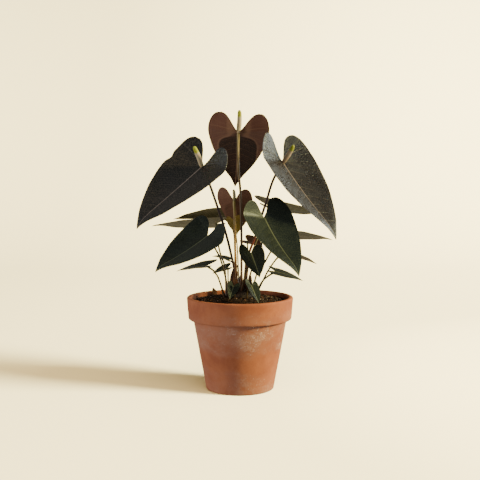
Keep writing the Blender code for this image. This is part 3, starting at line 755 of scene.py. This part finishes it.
def bladeFrame(values):
    made = dict(zip(bladeKeys, values))
    heading, pitch, roll = [math.radians(made[key]) for key in ("heading", "pitch", "roll")]
    rib = Vector((math.cos(heading) * math.cos(pitch), math.sin(heading) * math.cos(pitch), -math.sin(pitch)))
    level = Vector((-math.sin(heading), math.cos(heading), 0))
    made["rib"] = rib
    made["side"] = level * math.cos(roll) + rib.cross(level) * math.sin(roll)
    made["up"] = rib.cross(made["side"])
    if len(made["root"]) == 3:
        made["root"] = Vector(made["root"]) * mm + Vector((0, 0, plantBase))
    place, made["ribCurve"] = Vector((0, 0)), [(Vector((0, 0)), 0.0)]
    steps = made["steps"] = 80
    for step in range(steps):
        turns = [math.radians(made["bend"] * s + made["tipBend"] * max(0, s * 4 - 3) ** 1.5)
                 for s in (step / steps, (step + 1) / steps)]
        middle = sum(turns) / 2
        place = place + Vector((math.cos(middle), -math.sin(middle))) / steps
        made["ribCurve"].append((place.copy(), turns[1]))
    return made


def bladePoint(made, along, across, relief):
    # where the flat outline's point comes to lie; relief is its height over the sheet in millimetres
    right = across < 0
    length, half = made["length"] * mm, made["halfWidth"] * mm
    if along < 0:
        back = -along * made["lobe"][right]
        rise = math.radians(made["lift"][right]) * back / (back + 0.06)
        place, turn = Vector((-back * math.cos(rise), back * math.sin(rise))), 0.0
    else:
        step = min(int(along * made["steps"]), made["steps"] - 1)
        (start, turnStart), (end, turnEnd) = made["ribCurve"][step:step + 2]
        share = along * made["steps"] - step
        place, turn = start.lerp(end, share), turnStart + (turnEnd - turnStart) * share
    fold = math.radians(made["fold"][right]) * (0.45 + 0.275 * abs(across))
    rise = made["up"] * math.cos(turn) + made["rib"] * math.sin(turn)
    outward = -1 if right else 1
    skin = rise * math.cos(fold) - made["side"] * math.sin(fold) * outward
    return (made["root"] + made["rib"] * place.x * length + made["up"] * place.y * length
            + made["side"] * across * math.cos(fold) * half + rise * abs(across) * math.sin(fold) * half
            + skin * relief * mm)


def outlinePairs(margin, rows, sinusRows):
    # matching points on the inner line and the margin, from the back of the lobe to the tip
    outer = evenPoints([(x, y, 0) for x, y in margin], rows + 1)
    if not sinusRows:
        return [(Vector((row / rows, 0, 0)), outer[row]) for row in range(rows + 1)]
    inner = evenPoints([(x, y, 0) for x, y in heartSinus], sinusRows + 1)
    ribs = rows - sinusRows
    inner += [Vector((step / ribs, 0, 0)) for step in range(1, ribs + 1)]
    return list(zip(inner, outer))


def veinPlace(made, x, y):
    # a number that is whole on each side vein, the space between veins and the way to the midrib
    length, half = made["length"], made["halfWidth"]
    start = x - veins["forward"] * y ** 1.3
    if start >= 0:
        order, space = start * veins["lateral"], length / veins["lateral"] * 0.75
    else:
        turn = math.atan2(-start * length, max(y * half, 1e-6))
        order = -turn / (math.pi / 2) * veins["basal"]
        space = math.hypot(start * length, y * half) * (math.pi / 2) / veins["basal"]
    away = y * half if x >= 0 else math.hypot(x * length, y * half)
    return order, space, away


def bladeRelief(made, x, y, edge, order, space, away, seed):
    between = math.sin(math.pi * abs(order - round(order)))
    calm = min(1, space / 9) * smoothStep(away, 0.5, 6) * smoothStep(edge, 1.0, 0.8)
    quilt = veins["quilt"] * (between - 0.5) * calm
    groove = -veins["groove"] * math.exp(-(away / 1.3) ** 2) * (1 - 0.7 * max(x, 0))
    size = made["length"] / 120
    ripple = veins["ripple"] * size * edge ** 3 * noise.noise(Vector((x * 5.5, seed * 7.7, 0.5 if y > 0 else 4.5)))
    ripple *= smoothStep(x, 1.0, 0.85)
    slow = 1.1 * size * noise.noise(Vector((x * 2.6, y * 2.2, seed * 3.3))) * edge
    return quilt + groove + ripple + slow * smoothStep(x, 1.0, 0.8) - veins["curl"] * size * edge ** 5


def makeBlade(values, finishes, size, kind, seed, dent=None):
    made = values if isinstance(values, dict) else bladeFrame(values)
    thickness, rows, sinusRows, columns = sheets[kind, size]
    pairs = outlinePairs(lanceMargin if kind == "sheath" else heartMargin, rows, sinusRows)
    halves = []
    for side in (1, -1):
        bpy.ops.object.select_all(action="DESELECT")
        bpy.ops.mesh.primitive_grid_add(x_subdivisions=rows, y_subdivisions=columns, size=1)
        half = bpy.context.object
        marks = half.data.attributes.new("veinMarks", "FLOAT_VECTOR", "POINT")
        flat = half.data.attributes.new("flatPlace", "FLOAT_VECTOR", "POINT")
        for vertex in half.data.vertices:
            inner, outer = pairs[round((vertex.co.x + 0.5) * rows)]
            edge = vertex.co.y + 0.5
            place = inner.lerp(outer, edge)
            if dent and side == dent["side"]:
                place.y *= 1 - dent["depth"] * math.exp(-((place.x - dent["along"]) / dent["reach"]) ** 2) * edge
            order, space, away = veinPlace(made, place.x, abs(place.y))
            relief = bladeRelief(made, place.x, abs(place.y), edge, order, space, away, seed + side * 0.37)
            marks.data[vertex.index].vector = (order, space, away)
            flat.data[vertex.index].vector = (place.x, side * place.y, edge)
            vertex.co = bladePoint(made, place.x, side * place.y, relief)
        halves.append(half)
    obj = joinAll(halves)
    mergeDoubles(obj)
    if sum((p.normal.dot(made["up"]) * p.area for p in obj.data.polygons)) < 0:
        obj.data.flip_normals()
    obj.data.materials.append(finishes[0])
    obj.data.materials.append(finishes[-1])
    solid = obj.modifiers.new("thickness", "SOLIDIFY")
    solid.thickness = thickness * mm
    solid.offset = 0
    solid.material_offset = 1
    solid.use_even_offset = False
    applyModifiers(obj)
    return obj


# Each kind of skin: its ground from dark to light, its veins, and a tone painted towards the lobes as light and
# shade.
# Widths are in millimetres, and arcShown, innerVeins and crinkle belong to the shield behind a spathe's sinus.
# the pale margin line, set here for every skin, is a painted highlight
plainSkin = {"netSize": 2.4, "veinWidth": 0.45, "ribWidth": 1.0, "relief": 0.5, "crinkle": 0.0, "arcShown": 0.0,
             "ribShown": 0.5, "innerVeins": 1.0, "netShown": 0.16, "paintedEdgeLightShown": 0.14, "tint": (1, 1, 1)}
bladeSkins = {
    "spatheFace": {
        "dark": (0.0042, 0.0044, 0.0052), "light": (0.0080, 0.0082, 0.0096), "vein": (0.25, 0.215, 0.20),
        "veinShown": 0.09, "rough": 0.27, "paintedLobeTone": (0.0045, 0.0040, 0.0038), "paintedLobeToneShown": 0.8, "veinWidth": 0.6,
        "ribWidth": 1.5, "relief": 0.8, "crinkle": 2.6, "ribShown": 0.9, "gloss": 0.40, "tint": (0.70, 0.92, 1.0)},
    # painted light and shade: the lobes in a pale tone as if lit through, the shield behind the sinus dark as if in
    # shade
    "spatheBack": {
        "dark": (0.012, 0.0035, 0.0022), "light": (0.028, 0.0085, 0.0046), "vein": (0.42, 0.25, 0.15),
        "veinShown": 0.42, "rough": 0.50, "paintedLobeTone": (0.225, 0.104, 0.074), "paintedLobeToneShown": 0.95, "veinWidth": 0.85,
        "ribWidth": 1.6, "arcShown": 0.5, "innerVeins": 0.3, "ribShown": 0.8, "gloss": 0.28},
    "youngSpathe": {
        "dark": (0.085, 0.038, 0.022), "light": (0.140, 0.066, 0.036), "vein": (0.32, 0.18, 0.10),
        "veinShown": 0.25, "rough": 0.50, "paintedLobeTone": (0.195, 0.094, 0.062), "paintedLobeToneShown": 0.8, "ribWidth": 1.4,
        "ribShown": 0.6, "gloss": 0.28},
    "leafFace": {
        "dark": (0.0038, 0.0070, 0.0062), "light": (0.0086, 0.0152, 0.0160), "vein": (0.15, 0.18, 0.115),
        "veinShown": 0.05, "rough": 0.36, "paintedLobeTone": (0.0075, 0.0135, 0.0150), "paintedLobeToneShown": 0.3, "ribWidth": 1.4,
        "ribShown": 0.8, "gloss": 0.26, "tint": (0.78, 1.0, 0.96)},
    "leafBack": {
        "dark": (0.240, 0.228, 0.115), "light": (0.390, 0.360, 0.185), "vein": (0.58, 0.53, 0.31),
        "veinShown": 0.5, "rough": 0.52, "paintedLobeTone": (0.32, 0.30, 0.155), "paintedLobeToneShown": 0.3, "veinWidth": 0.7,
        "ribWidth": 1.6, "ribShown": 0.9, "gloss": 0.30},
    "bronzeLeaf": {
        "dark": (0.050, 0.044, 0.018), "light": (0.100, 0.086, 0.038), "vein": (0.26, 0.24, 0.12),
        "veinShown": 0.6, "rough": 0.45, "paintedLobeTone": (0.09, 0.075, 0.035), "paintedLobeToneShown": 0.3, "ribWidth": 1.4,
        "ribShown": 0.9, "gloss": 0.30},
    "goldLeaf": {
        "dark": (0.12, 0.085, 0.016), "light": (0.26, 0.19, 0.035), "vein": (0.42, 0.33, 0.09),
        "veinShown": 0.5, "rough": 0.45, "paintedLobeTone": (0.24, 0.17, 0.04), "paintedLobeToneShown": 0.4, "ribShown": 1.0,
        "gloss": 0.30},
    "brownLeaf": {
        "dark": (0.085, 0.038, 0.022), "light": (0.16, 0.08, 0.04), "vein": (0.28, 0.17, 0.09),
        "veinShown": 0.5, "rough": 0.45, "paintedLobeTone": (0.14, 0.07, 0.04), "paintedLobeToneShown": 0.4, "ribShown": 1.0,
        "gloss": 0.30},
    "sheathFinish": {
        "dark": (0.016, 0.006, 0.005), "light": (0.050, 0.018, 0.013), "vein": (0.11, 0.055, 0.035),
        "veinShown": 0.35, "rough": 0.6, "paintedLobeTone": (0.05, 0.02, 0.014), "paintedLobeToneShown": 0.3, "netSize": 1.4,
        "gloss": 0.25},
}
# face and underside of each blade, where it isn't as its kind has it
spatheSides = {"mid": ("spatheFace", "youngSpathe")}
leafSides = {"back_centre": ("goldLeaf",), "back_centre_right": ("brownLeaf",),
             "back_left_upper": ("bronzeLeaf", "leafBack"), "back_left_lower": ("bronzeLeaf", "leafBack")}


def bladeFinish(name, skin):
    material, tree, shader = newMaterial(name, Roughness=skin["rough"], **{
        "Specular IOR Level": skin["gloss"], "Specular Tint": (*skin["tint"], 1)})
    leaf = useGroup(tree, venationGroup, VeinWidth=skin["veinWidth"], RibWidth=skin["ribWidth"],
                    NetSize=skin["netSize"])
    color = mixColor(tree, spread(tree, leaf["Mottle"], 0.30, 0.70), skin["dark"], skin["light"])
    # painted light and shade: the lobes, outside the shield, take their own tone
    outer = times(tree, minus(tree, 1.0, leaf["Inner"]), skin["paintedLobeToneShown"])
    color = mixColor(tree, outer, color, skin["paintedLobeTone"])
    veinShare = spread(tree, leaf["Inner"], 0.0, 1.0, skin["veinShown"], skin["veinShown"] * skin["innerVeins"])
    # the pale line along the margin is a painted highlight
    for part, share in (("Net", skin["netShown"]), ("Veins", veinShare), ("Arc", skin["arcShown"]),
                        ("Rib", skin["ribShown"]), ("Edge", skin["paintedEdgeLightShown"])):
        color = mixColor(tree, times(tree, leaf[part], share), color, skin["vein"])
    tree.links.new(color, shader.inputs["Base Color"])
    dull = spread(tree, leaf["Mottle"], 0.25, 0.75, skin["rough"] - 0.05, skin["rough"] + 0.07)
    tree.links.new(plus(tree, dull, times(tree, leaf["Veins"], 0.10)), shader.inputs["Roughness"])
    height = leaf["Height"]
    if skin["crinkle"]:
        folds = noiseOf(tree, objectCoords(tree), 210.0, 3.0, 0.6, 0.6)
        calm = spread(tree, leaf["Inner"], 0.0, 1.0, skin["crinkle"], skin["crinkle"] * 0.4)
        height = plus(tree, height, times(tree, folds, calm))
    bumped(tree, shader, height, skin["relief"], 0.35 * mm)
    return material


skins = {name: bladeFinish(name, {**plainSkin, **skin}) for name, skin in bladeSkins.items()}

for order, (name, values) in enumerate(spathes.items()):
    tones = [skins[side] for side in spatheSides.get(name, ("spatheFace", "spatheBack"))]
    blade = makeBlade(values, tones, "large" if values[4] > 60 else "small", "spathe", order, dents.get(name))
    finishPiece(blade, "spathe." + name, tones, ["spathe_" + name])
for order, (name, values) in enumerate(leaves.items()):
    tones = [skins[side] for side in leafSides.get(name, ("leafFace", "leafBack"))]
    blade = makeBlade(values, tones, "large" if values[4] > 60 else "small", "leaf", 10 + order)
    finishPiece(blade, "leafBlade." + name, tones, ["leaf_blade_" + name])
print("blades grown")


# where each foot stands, as shares of the crown's radius, then the points that the stalk passes
flowerStalks = {
    "left": ((-0.4, -0.34), [(-8.1, -8, 38.2), (-13.4, -12, 64.8), (-22.1, -18, 99.7), (-31.6, -24.5, 129),
                             (-40.9, -31, 157)]),
    "top": ((0.11, 0), [(2.1, 1.5, 48.5), (2, 3, 100.7), (0.4, 4, 147.8), (-2, 4.5, 175.2), (-2.8, 5, 200.9)]),
    "right": ((0.37, 0.23), [(11.3, 4.2, 54), (21.3, 4, 84.5), (35.4, 4, 128.5), (46.5, 4.5, 163.9)]),
    "mid": ((-0.23, 0.34), [(-6.4, 11, 47.4), (-7.1, 15, 78.5), (-7.5, 18.5, 105.8)]),
}
leafStalks = {
    "front_right": ((0.49, -0.37), [(15.3, -13.5, 36), (26.2, -24.1, 64.9), (33, -37, 93.3)]),
    "front_left": ((-0.8, -0.86), [(-22.2, -18.5, 37.5), (-28.2, -24.3, 57.9), (-33.3, -29.7, 69)]),
    "front_small": ((0.14, -0.54), [(6.9, -19, 31.3), (12.3, -32.9, 49.2)]),
    "back_left_upper": ((-0.49, 0.51), [(-5.7, 19, 44), (-7, 29, 66.7), (-9, 45, 86), (-14, 60, 99)]),
    "back_left_lower": ((-1.09, 0.46), [(-22, 12, 41), (-27, 19, 55), (-31, 31, 68), (-34, 52, 86)]),
    "back_right_upper": ((0.46, 0.57), [(12.8, 15, 47), (24.3, 24, 78.3), (33.5, 36, 104)]),
    "back_right_middle": ((0.97, 0.69), [(23.9, 17, 29), (36, 26, 46.4), (47, 36, 64)]),
    "back_right_lower": ((1.23, 0.17), [(39.8, 8.1, 35), (53, 12.9, 53)]),
    "low_left": ((-1.26, -0.23), [(-29.6, -7.4, 25.4), (-35, -11, 35), (-39, -13, 39.5)]),
    "low_right": ((1.17, -0.46), [(30, -11, 21), (39, -13, 30)]),
    "inner_left_upper": ((-0.69, 0.97), [(-3, 24, 32), (-7, 33, 43)]),
    "inner_left_lower": ((-0.94, 0.74), [(-17, 19, 22)]),
    "basal_left": ((-0.4, -1.11), [(-7.5, -25, 10)]),
    "basal_right": ((0.51, -1.11), [(11, -27, 12)]),
    "back_centre": ((-0.06, 0.66), [(-3, 18, 51.9), (-5, 22.5, 80)]),
    "back_centre_right": ((0.29, 1.17), [(7.2, 23.1, 37.7), (11, 32.4, 60)]),
}

stalk = {"flowerRadius": 1.7, "leafRadius": 1.2, "slimShare": 0.8, "slimBelow": 32, "footSwell": 1.75,
         "footReach": 26, "kneeSwell": 0.28, "kneeReach": 9.0, "sink": 2.2, "wander": 0.35, "step": 2.6,
         "sides": 20, "rough": 0.42, "lenticel": (0.34, 0.26, 0.14)}
# each skin's colours by share of the stalk's length, and the colour of its darker fibres
stalkSkins = {
    "petiole": ([(0.0, (0.055, 0.022, 0.014)), (0.16, (0.085, 0.050, 0.020)), (0.45, (0.085, 0.070, 0.024)),
                 (0.85, (0.075, 0.075, 0.026)), (1.0, (0.13, 0.15, 0.05))], (0.030, 0.024, 0.012)),
    "leftStalkSkin": ([(0.0, (0.075, 0.028, 0.020)), (0.3, (0.050, 0.026, 0.020)), (0.8, (0.036, 0.022, 0.019)),
                       (1.0, (0.09, 0.075, 0.04))], (0.018, 0.010, 0.010)),
    # the top stalk's pale gold upper part and the mid stalk's bright gold middle are in part their own colour and
    # in part a painted glow, as of light shining through them
    "topStalkSkin": ([(0.0, (0.13, 0.055, 0.015)), (0.25, (0.095, 0.050, 0.014)), (0.55, (0.085, 0.050, 0.016)),
                      (0.70, (0.24, 0.16, 0.06)), (1.0, (0.36, 0.31, 0.12))], (0.075, 0.042, 0.020)),
    "rightStalkSkin": ([(0.0, (0.12, 0.036, 0.018)), (0.35, (0.24, 0.060, 0.026)), (0.60, (0.070, 0.034, 0.022)),
                        (1.0, (0.10, 0.060, 0.036))], (0.050, 0.022, 0.014)),
    "midStalkSkin": ([(0.0, (0.26, 0.09, 0.014)), (0.35, (0.42, 0.19, 0.018)), (0.6, (0.34, 0.20, 0.025)),
                      (0.8, (0.22, 0.16, 0.03)), (1.0, (0.32, 0.30, 0.08))], (0.15, 0.065, 0.010)),
}


def footPlace(foot):
    # on the crown, or on the soil where the foot stands outside it
    x, y = foot[0] * crown["radius"], foot[1] * crown["radius"]
    radius = math.hypot(x, y)
    height = soilHeight(radius) - pot["height"] if radius > crown["radius"] else crownHeight(radius)
    return Vector((x, y, height)) * mm + Vector((0, 0, plantBase))


def makeStalk(foot, route, values, radius, seed):
    blade = bladeFrame(values)
    path = [Vector(p) * mm + Vector((0, 0, plantBase)) for p in route]
    face = footPlace(foot)
    down = (face - path[0]).normalized()
    joint = blade["root"] - blade["up"] * 0.55 * radius * mm
    path = [face + down * stalk["sink"] * mm] + path + [joint]
    reach = sum((b - a).length for a, b in zip(path, path[1:])) / mm
    points = evenPoints(path, max(8, round(reach / stalk["step"])))
    radii, shares = [], []
    for step, point in enumerate(points):
        share = step / (len(points) - 1)
        base = (stalk["footSwell"] - 1) * smoothStep(share * reach, min(stalk["footReach"], reach * 0.35), 0)
        knee = stalk["kneeSwell"] * math.exp(-((share - 1) * reach / stalk["kneeReach"]) ** 2)
        shares.append(share)
        radii.append(radius * mm * (1 + base + knee + 0.04 * noise.noise(Vector((share * 9, seed * 3.1, 0)))))
    radii[-1] *= 0.9
    wander = [noise.noise_vector(Vector((share * 7, seed * 5.3, 2))) * stalk["wander"] * mm
              * math.sin(math.pi * share) for share in shares]
    points = [point + shift for point, shift in zip(points, wander)]
    obj = plainRod(points, radii, stalk["sides"])
    tree = kdtree.KDTree(len(points))
    for step, point in enumerate(points):
        tree.insert(point, step)
    tree.balance()
    marks = obj.data.attributes.new("reach", "FLOAT", "POINT")
    for vertex in obj.data.vertices:
        marks.data[vertex.index].value = shares[tree.find(vertex.co)[1]]
    return obj


def stalkFinish(name, stops, dark):
    # a ramp of colours along the stalk, with darker fibres and pale lenticels
    rough = stalk["rough"]
    material, tree, shader = newMaterial(name, Roughness=rough, **{"Coat Weight": 0.06, "Coat Roughness": 0.35})
    streaks = useGroup(tree, streaksGroup, Fineness=1.0)
    ramp = addNode(tree, "ValToRGB", {0: streaks["Reach"]})
    points = ramp.color_ramp.elements
    points[0].position, points[1].position = stops[0][0], stops[-1][0]
    points[0].color, points[1].color = (*stops[0][1], 1), (*stops[-1][1], 1)
    for position, color in stops[1:-1]:
        points.new(position).color = (*color, 1)
    fibres = times(tree, spread(tree, streaks["Mask"], 0.42, 0.66), 0.55)
    color = mixColor(tree, fibres, ramp.outputs[0], dark)
    color = mixColor(tree, times(tree, streaks["Spots"], 0.22), color, stalk["lenticel"])
    tree.links.new(color, shader.inputs["Base Color"])
    tree.links.new(spread(tree, streaks["Mask"], 0.3, 0.7, rough - 0.06, rough + 0.10), shader.inputs["Roughness"])
    bumped(tree, shader, streaks["Height"], 0.35, 0.2 * mm)
    return material


stalkTones = {name: stalkFinish(name, *skin) for name, skin in stalkSkins.items()}

for order, (name, (foot, route)) in enumerate(flowerStalks.items()):
    rod = makeStalk(foot, route, spathes[name], stalk["flowerRadius"], order)
    finishPiece(rod, "flowerStalk." + name, [stalkTones[name + "StalkSkin"]],
                ["flower_stalk_" + name])
for order, (name, (foot, route)) in enumerate(leafStalks.items()):
    slim = stalk["slimShare"] if leaves[name][4] < stalk["slimBelow"] else 1
    rod = makeStalk(foot, route, leaves[name], stalk["leafRadius"] * slim, 10 + order)
    finishPiece(rod, "leafStalk." + name, [stalkTones["petiole"]], ["leaf_stalk_" + name])

for order, (name, values) in enumerate(sheaths.items()):
    blade = bladeFrame(values)
    blade["root"] = footPlace(values[0]) - Vector((0, 0, sheathSink * mm))
    leaf = makeBlade(blade, [skins["sheathFinish"]], "small", "sheath", 40 + order)
    finishPiece(leaf, "sheath." + name, [skins["sheathFinish"]], ["sheath_" + name])
print("stalks and sheaths set")


spadices = {  # place of the tip, radius and finish
    "left": ((-61.3, -52, 208.5), 3.3, "creamSpadix"),
    "top": ((-0.7, 0, 261.2), 3.4, "creamSpadix"),
    "right": ((74.6, -8, 212.2), 3.3, "tanSpadix"),
    "mid": ((-9.2, 19, 150.8), 2.3, "oliveSpadix"),
}
spadix = {"outline": [(0, 0.62), (0.03, 0.74), (0.12, 0.93), (0.30, 1), (0.60, 0.96), (0.82, 0.86), (0.92, 0.72),
                       (0.97, 0.50), (1, 0.02)], "turns": 11, "bump": 0.22, "bow": 0.7, "sides": 88, "rings": 150,
          "gap": (0.20, 0.17, 0.06), "pollen": (0.86, 0.82, 0.68)}
# colours near the foot, below the tip and at the tip, and where the tip's colour starts
spadixTones = {"creamSpadix": ((0.62, 0.53, 0.30), (0.66, 0.60, 0.42), (0.40, 0.47, 0.03), 0.68),
               "tanSpadix": ((0.50, 0.36, 0.24), (0.56, 0.46, 0.34), (0.34, 0.42, 0.025), 0.70),
               "oliveSpadix": ((0.28, 0.27, 0.13), (0.42, 0.42, 0.26), (0.44, 0.46, 0.24), 0.8)}


def spadixWidth(share):
    for (start, wide), (end, nextWide) in zip(spadix["outline"], spadix["outline"][1:]):
        if share <= end:
            return wide + (nextWide - wide) * (share - start) / (end - start)
    return spadix["outline"][-1][1]


def makeSpadix(values, tip, radius, seed):
    blade = bladeFrame(values)
    top = Vector(tip) * mm + Vector((0, 0, plantBase))
    base = blade["root"] - blade["up"] * 0.3 * mm
    lean = top - base
    length = lean.length
    bpy.ops.object.select_all(action="DESELECT")
    bpy.ops.mesh.primitive_uv_sphere_add(segments=spadix["sides"], ring_count=spadix["rings"], radius=1)
    obj = bpy.context.object
    marks = obj.data.attributes.new("reach", "FLOAT", "POINT")
    bumps = obj.data.attributes.new("berry", "FLOAT", "POINT")
    upright = Vector((0, 0, 1)).rotation_difference(lean).to_matrix()
    pitch = math.tau * radius / spadix["turns"] / 2
    for vertex in obj.data.vertices:
        share = 1 - math.acos(max(-1, min(1, vertex.co.z))) / math.pi
        turn = math.atan2(vertex.co.y, vertex.co.x)
        wave = share * length / mm / pitch * math.pi
        winding = turn * spadix["turns"] / 2
        berry = abs(math.cos(winding + wave / 2) * math.cos(winding - wave / 2)) ** 0.6
        wide = radius * spadixWidth(share) * (1 + 0.03 * noise.noise(Vector((share * 6, seed * 4.1, 0))))
        wide += spadix["bump"] * (berry - 0.5) * smoothStep(share, 1.0, 0.9) * radius / 3.3
        bow = spadix["bow"] * math.sin(math.pi * share) * mm
        marks.data[vertex.index].value = share
        bumps.data[vertex.index].value = berry
        around = Vector((wide * mm * math.cos(turn) + bow, wide * mm * math.sin(turn), share * length))
        vertex.co = upright @ around + base
    return obj


def spadixFinish(name, low, high, tipColor, tipStart):
    material, tree, shader = newMaterial(name, Roughness=0.6,
                                         **{"Subsurface Weight": 0.15, "Subsurface Scale": 0.003})
    reach, berry = attributeOf(tree, "reach"), attributeOf(tree, "berry")
    grain = useGroup(tree, grainGroup, Size=0.55, Specks=0.4)
    blur = times(tree, minus(tree, noiseOf(tree, objectCoords(tree), 300.0), 0.5), 0.12)
    place = plus(tree, reach, blur)
    color = mixColor(tree, spread(tree, place, 0.0, tipStart), low, high)
    color = mixColor(tree, spread(tree, place, tipStart - 0.05, tipStart + 0.08), color, tipColor)
    gaps = times(tree, spread(tree, berry, 0.55, 0.10), 0.55)
    color = mixColor(tree, gaps, color, mixColor(tree, 0.5, color, spadix["gap"]))
    pollen = times(tree, grain["Specks"], spread(tree, place, tipStart + 0.05, tipStart - 0.1))
    color = mixColor(tree, times(tree, pollen, 0.6), color, spadix["pollen"])
    tree.links.new(color, shader.inputs["Base Color"])
    bumped(tree, shader, plus(tree, berry, times(tree, grain["Height"], 0.4)), 0.5, 0.3 * mm)
    return material


spadixFinishes = {name: spadixFinish(name, *tones) for name, tones in spadixTones.items()}
for order, (name, (tip, radius, finish)) in enumerate(spadices.items()):
    finishPiece(makeSpadix(spathes[name], tip, radius, order), "spadix." + name, [spadixFinishes[finish]],
                ["spadix_" + name], 70)
print("spadices set")


studio = {"cameraPlace": (0, -1.1025, 0.2892), "cameraTilt": 4.1, "lens": 58.95, "sensor": 36.0,
          "key": {"place": (4.10, -0.72, 1.74), "aim": (0, 0, 0.14), "size": 0.9, "power": 440,
                  "color": (1.0, 0.80, 0.37)},
          "window": {"place": (2.05, 1.55, 0.95), "aim": (0, 0, 0.28), "size": 1.5, "power": 33,
                     "color": (0.95, 1.0, 0.90)},
          "glint": {"place": (1.66, -0.75, 2.09), "aim": (0, 0, 0.28), "size": 0.35, "power": 4,
                    "color": (0.92, 0.97, 1.0)},
          "fill": {"place": (-2.4, -0.8, 0.35), "aim": (0, 0, 0.10), "size": 1.4, "power": 38,
                   "color": (1.0, 0.90, 0.82)},
          "paperKey": {"place": (3.13, -1.0, 1.395), "aim": (0, 0, 0.14), "spread": 17, "power": 42.5,
                       "color": (1.0, 0.98, 0.86)},
          "paperSoft": {"place": (0.4, -1.0, 1.8), "aim": (0, 0, 0), "spread": 70, "power": 6.8,
                        "color": (1.0, 0.80, 0.60)},
          "worldColor": (1.0, 0.90, 0.76), "worldStrength": 0.34, "seenColor": (1.0, 0.86, 0.38),
          "seenStrength": 4.6}
# a paper sweep in metres: flat from front to back, then a quarter turn of radius bend, then up, and the middle of a
# pool of painted light on it
backdrop = {"wide": 12.0, "front": -5.0, "back": 1.5, "bend": 2.6, "bendSteps": 24, "tall": 2.5,
            "paper": (0.90, 0.775, 0.39), "fibre": 0.985, "paintedLightPoolMiddle": (0.8, 0.0, 0.0)}


def makeBackdrop():
    wide, front, back, bend, steps = [backdrop[key] for key in ("wide", "front", "back", "bend", "bendSteps")]
    bpy.ops.object.select_all(action="DESELECT")
    bpy.ops.mesh.primitive_plane_add(size=1)
    obj = bpy.context.object
    bpy.ops.object.mode_set(mode="EDIT")
    bpy.ops.transform.resize(value=(wide, back - front, 1), center_override=(0, 0, 0))
    bpy.ops.transform.translate(value=(0, (back + front) / 2, 0))
    bpy.ops.mesh.select_all(action="DESELECT")
    bpy.ops.object.mode_set(mode="OBJECT")
    for vertex in obj.data.vertices:
        vertex.select = vertex.co.y > back - 0.001
    for edge in obj.data.edges:
        edge.select = all(obj.data.vertices[end].select for end in edge.vertices)
    bpy.ops.object.mode_set(mode="EDIT")
    before = (back, 0.0)
    for step in range(1, steps + 1):
        turn = math.pi / 2 * step / steps
        place = (back + bend * math.sin(turn), bend - bend * math.cos(turn))
        onward = (0, place[0] - before[0], place[1] - before[1])
        bpy.ops.mesh.extrude_region_move(TRANSFORM_OT_translate={"value": onward})
        before = place
    bpy.ops.mesh.extrude_region_move(TRANSFORM_OT_translate={"value": (0, 0, backdrop["tall"])})
    bpy.ops.object.mode_set(mode="OBJECT")
    obj.data.shade_smooth()
    material, tree, shader = newMaterial("paper", Roughness=0.95, **{"Specular IOR Level": 0.1})
    coords = objectCoords(tree)
    # painted light on the paper: lighter to the right and in a pool beside the pot, as under one low lamp
    paintedLightPool = addNode(tree, "VectorMath", {0: coords, 1: backdrop["paintedLightPoolMiddle"]},
                   operation="DISTANCE").outputs["Value"]
    paintedLight = most(tree, spread(tree, splitUp(tree, coords)[0], -1.5, 1.5, 0.48, 0.92),
                 spread(tree, paintedLightPool, 0.35, 1.05, 1.0, 0.55))
    color = mixColor(tree, noiseOf(tree, coords, 260.0, 4.0), backdrop["paper"],
                     tuple(value * backdrop["fibre"] for value in backdrop["paper"]))
    color = mixColor(tree, 1.0, color, paintedLight, "MULTIPLY")
    tree.links.new(color, shader.inputs["Base Color"])
    obj.data.materials.append(material)
    obj.name = "backdrop"
    obj.visible_diffuse = False
    obj.visible_glossy = False
    return obj


def addLight(name, light, paper, onlyPaper):
    # the plant and the paper are lit apart, from the same side, so that neither drowns the other
    if onlyPaper:
        data = bpy.data.lights.new(name, "SUN")
        data.angle = math.radians(light["spread"])
    else:
        data = bpy.data.lights.new(name, "AREA")
        data.shape = "DISK"
        data.size = light["size"]
    data.energy = light["power"]
    data.color = light["color"]
    obj = bpy.data.objects.new(name, data)
    obj.location = light["place"]
    obj.rotation_euler = (Vector(light["aim"]) - Vector(light["place"])).to_track_quat("-Z", "Y").to_euler()
    obj.visible_camera = False
    bpy.context.collection.objects.link(obj)
    lit = bpy.data.collections.new(name + "Lights")
    lit.objects.link(paper)
    lit.collection_objects[0].light_linking.link_state = "INCLUDE" if onlyPaper else "EXCLUDE"
    obj.light_linking.receiver_collection = lit


paper = makeBackdrop()
for name in ("key", "window", "glint", "fill", "paperKey", "paperSoft"):
    addLight(name, studio[name], paper, name.startswith("paper"))

# the room lights the plant softly, and shows as bright as the paper where a view looks past it
world = bpy.data.worlds.new("room")
bpy.context.scene.world = world
world.use_nodes = True
tree = world.node_tree
soft = tree.nodes["Background"]
soft.inputs["Color"].default_value = (*studio["worldColor"], 1)
soft.inputs["Strength"].default_value = studio["worldStrength"]
seen = addNode(tree, "Background", {"Color": (*studio["seenColor"], 1), "Strength": studio["seenStrength"]})
mixed = addNode(tree, "MixShader", {0: addNode(tree, "LightPath").outputs["Is Camera Ray"], 1: soft.outputs[0],
                                    2: seen.outputs[0]})
tree.links.new(mixed.outputs[0], tree.nodes["World Output"].inputs["Surface"])

camera = bpy.data.objects.new("camera", bpy.data.cameras.new("camera"))
camera.location = studio["cameraPlace"]
camera.rotation_euler = (math.radians(90 - studio["cameraTilt"]), 0, 0)
camera.data.lens = studio["lens"]
camera.data.sensor_width = studio["sensor"]
bpy.context.collection.objects.link(camera)
bpy.context.scene.camera = camera
print("studio lit")
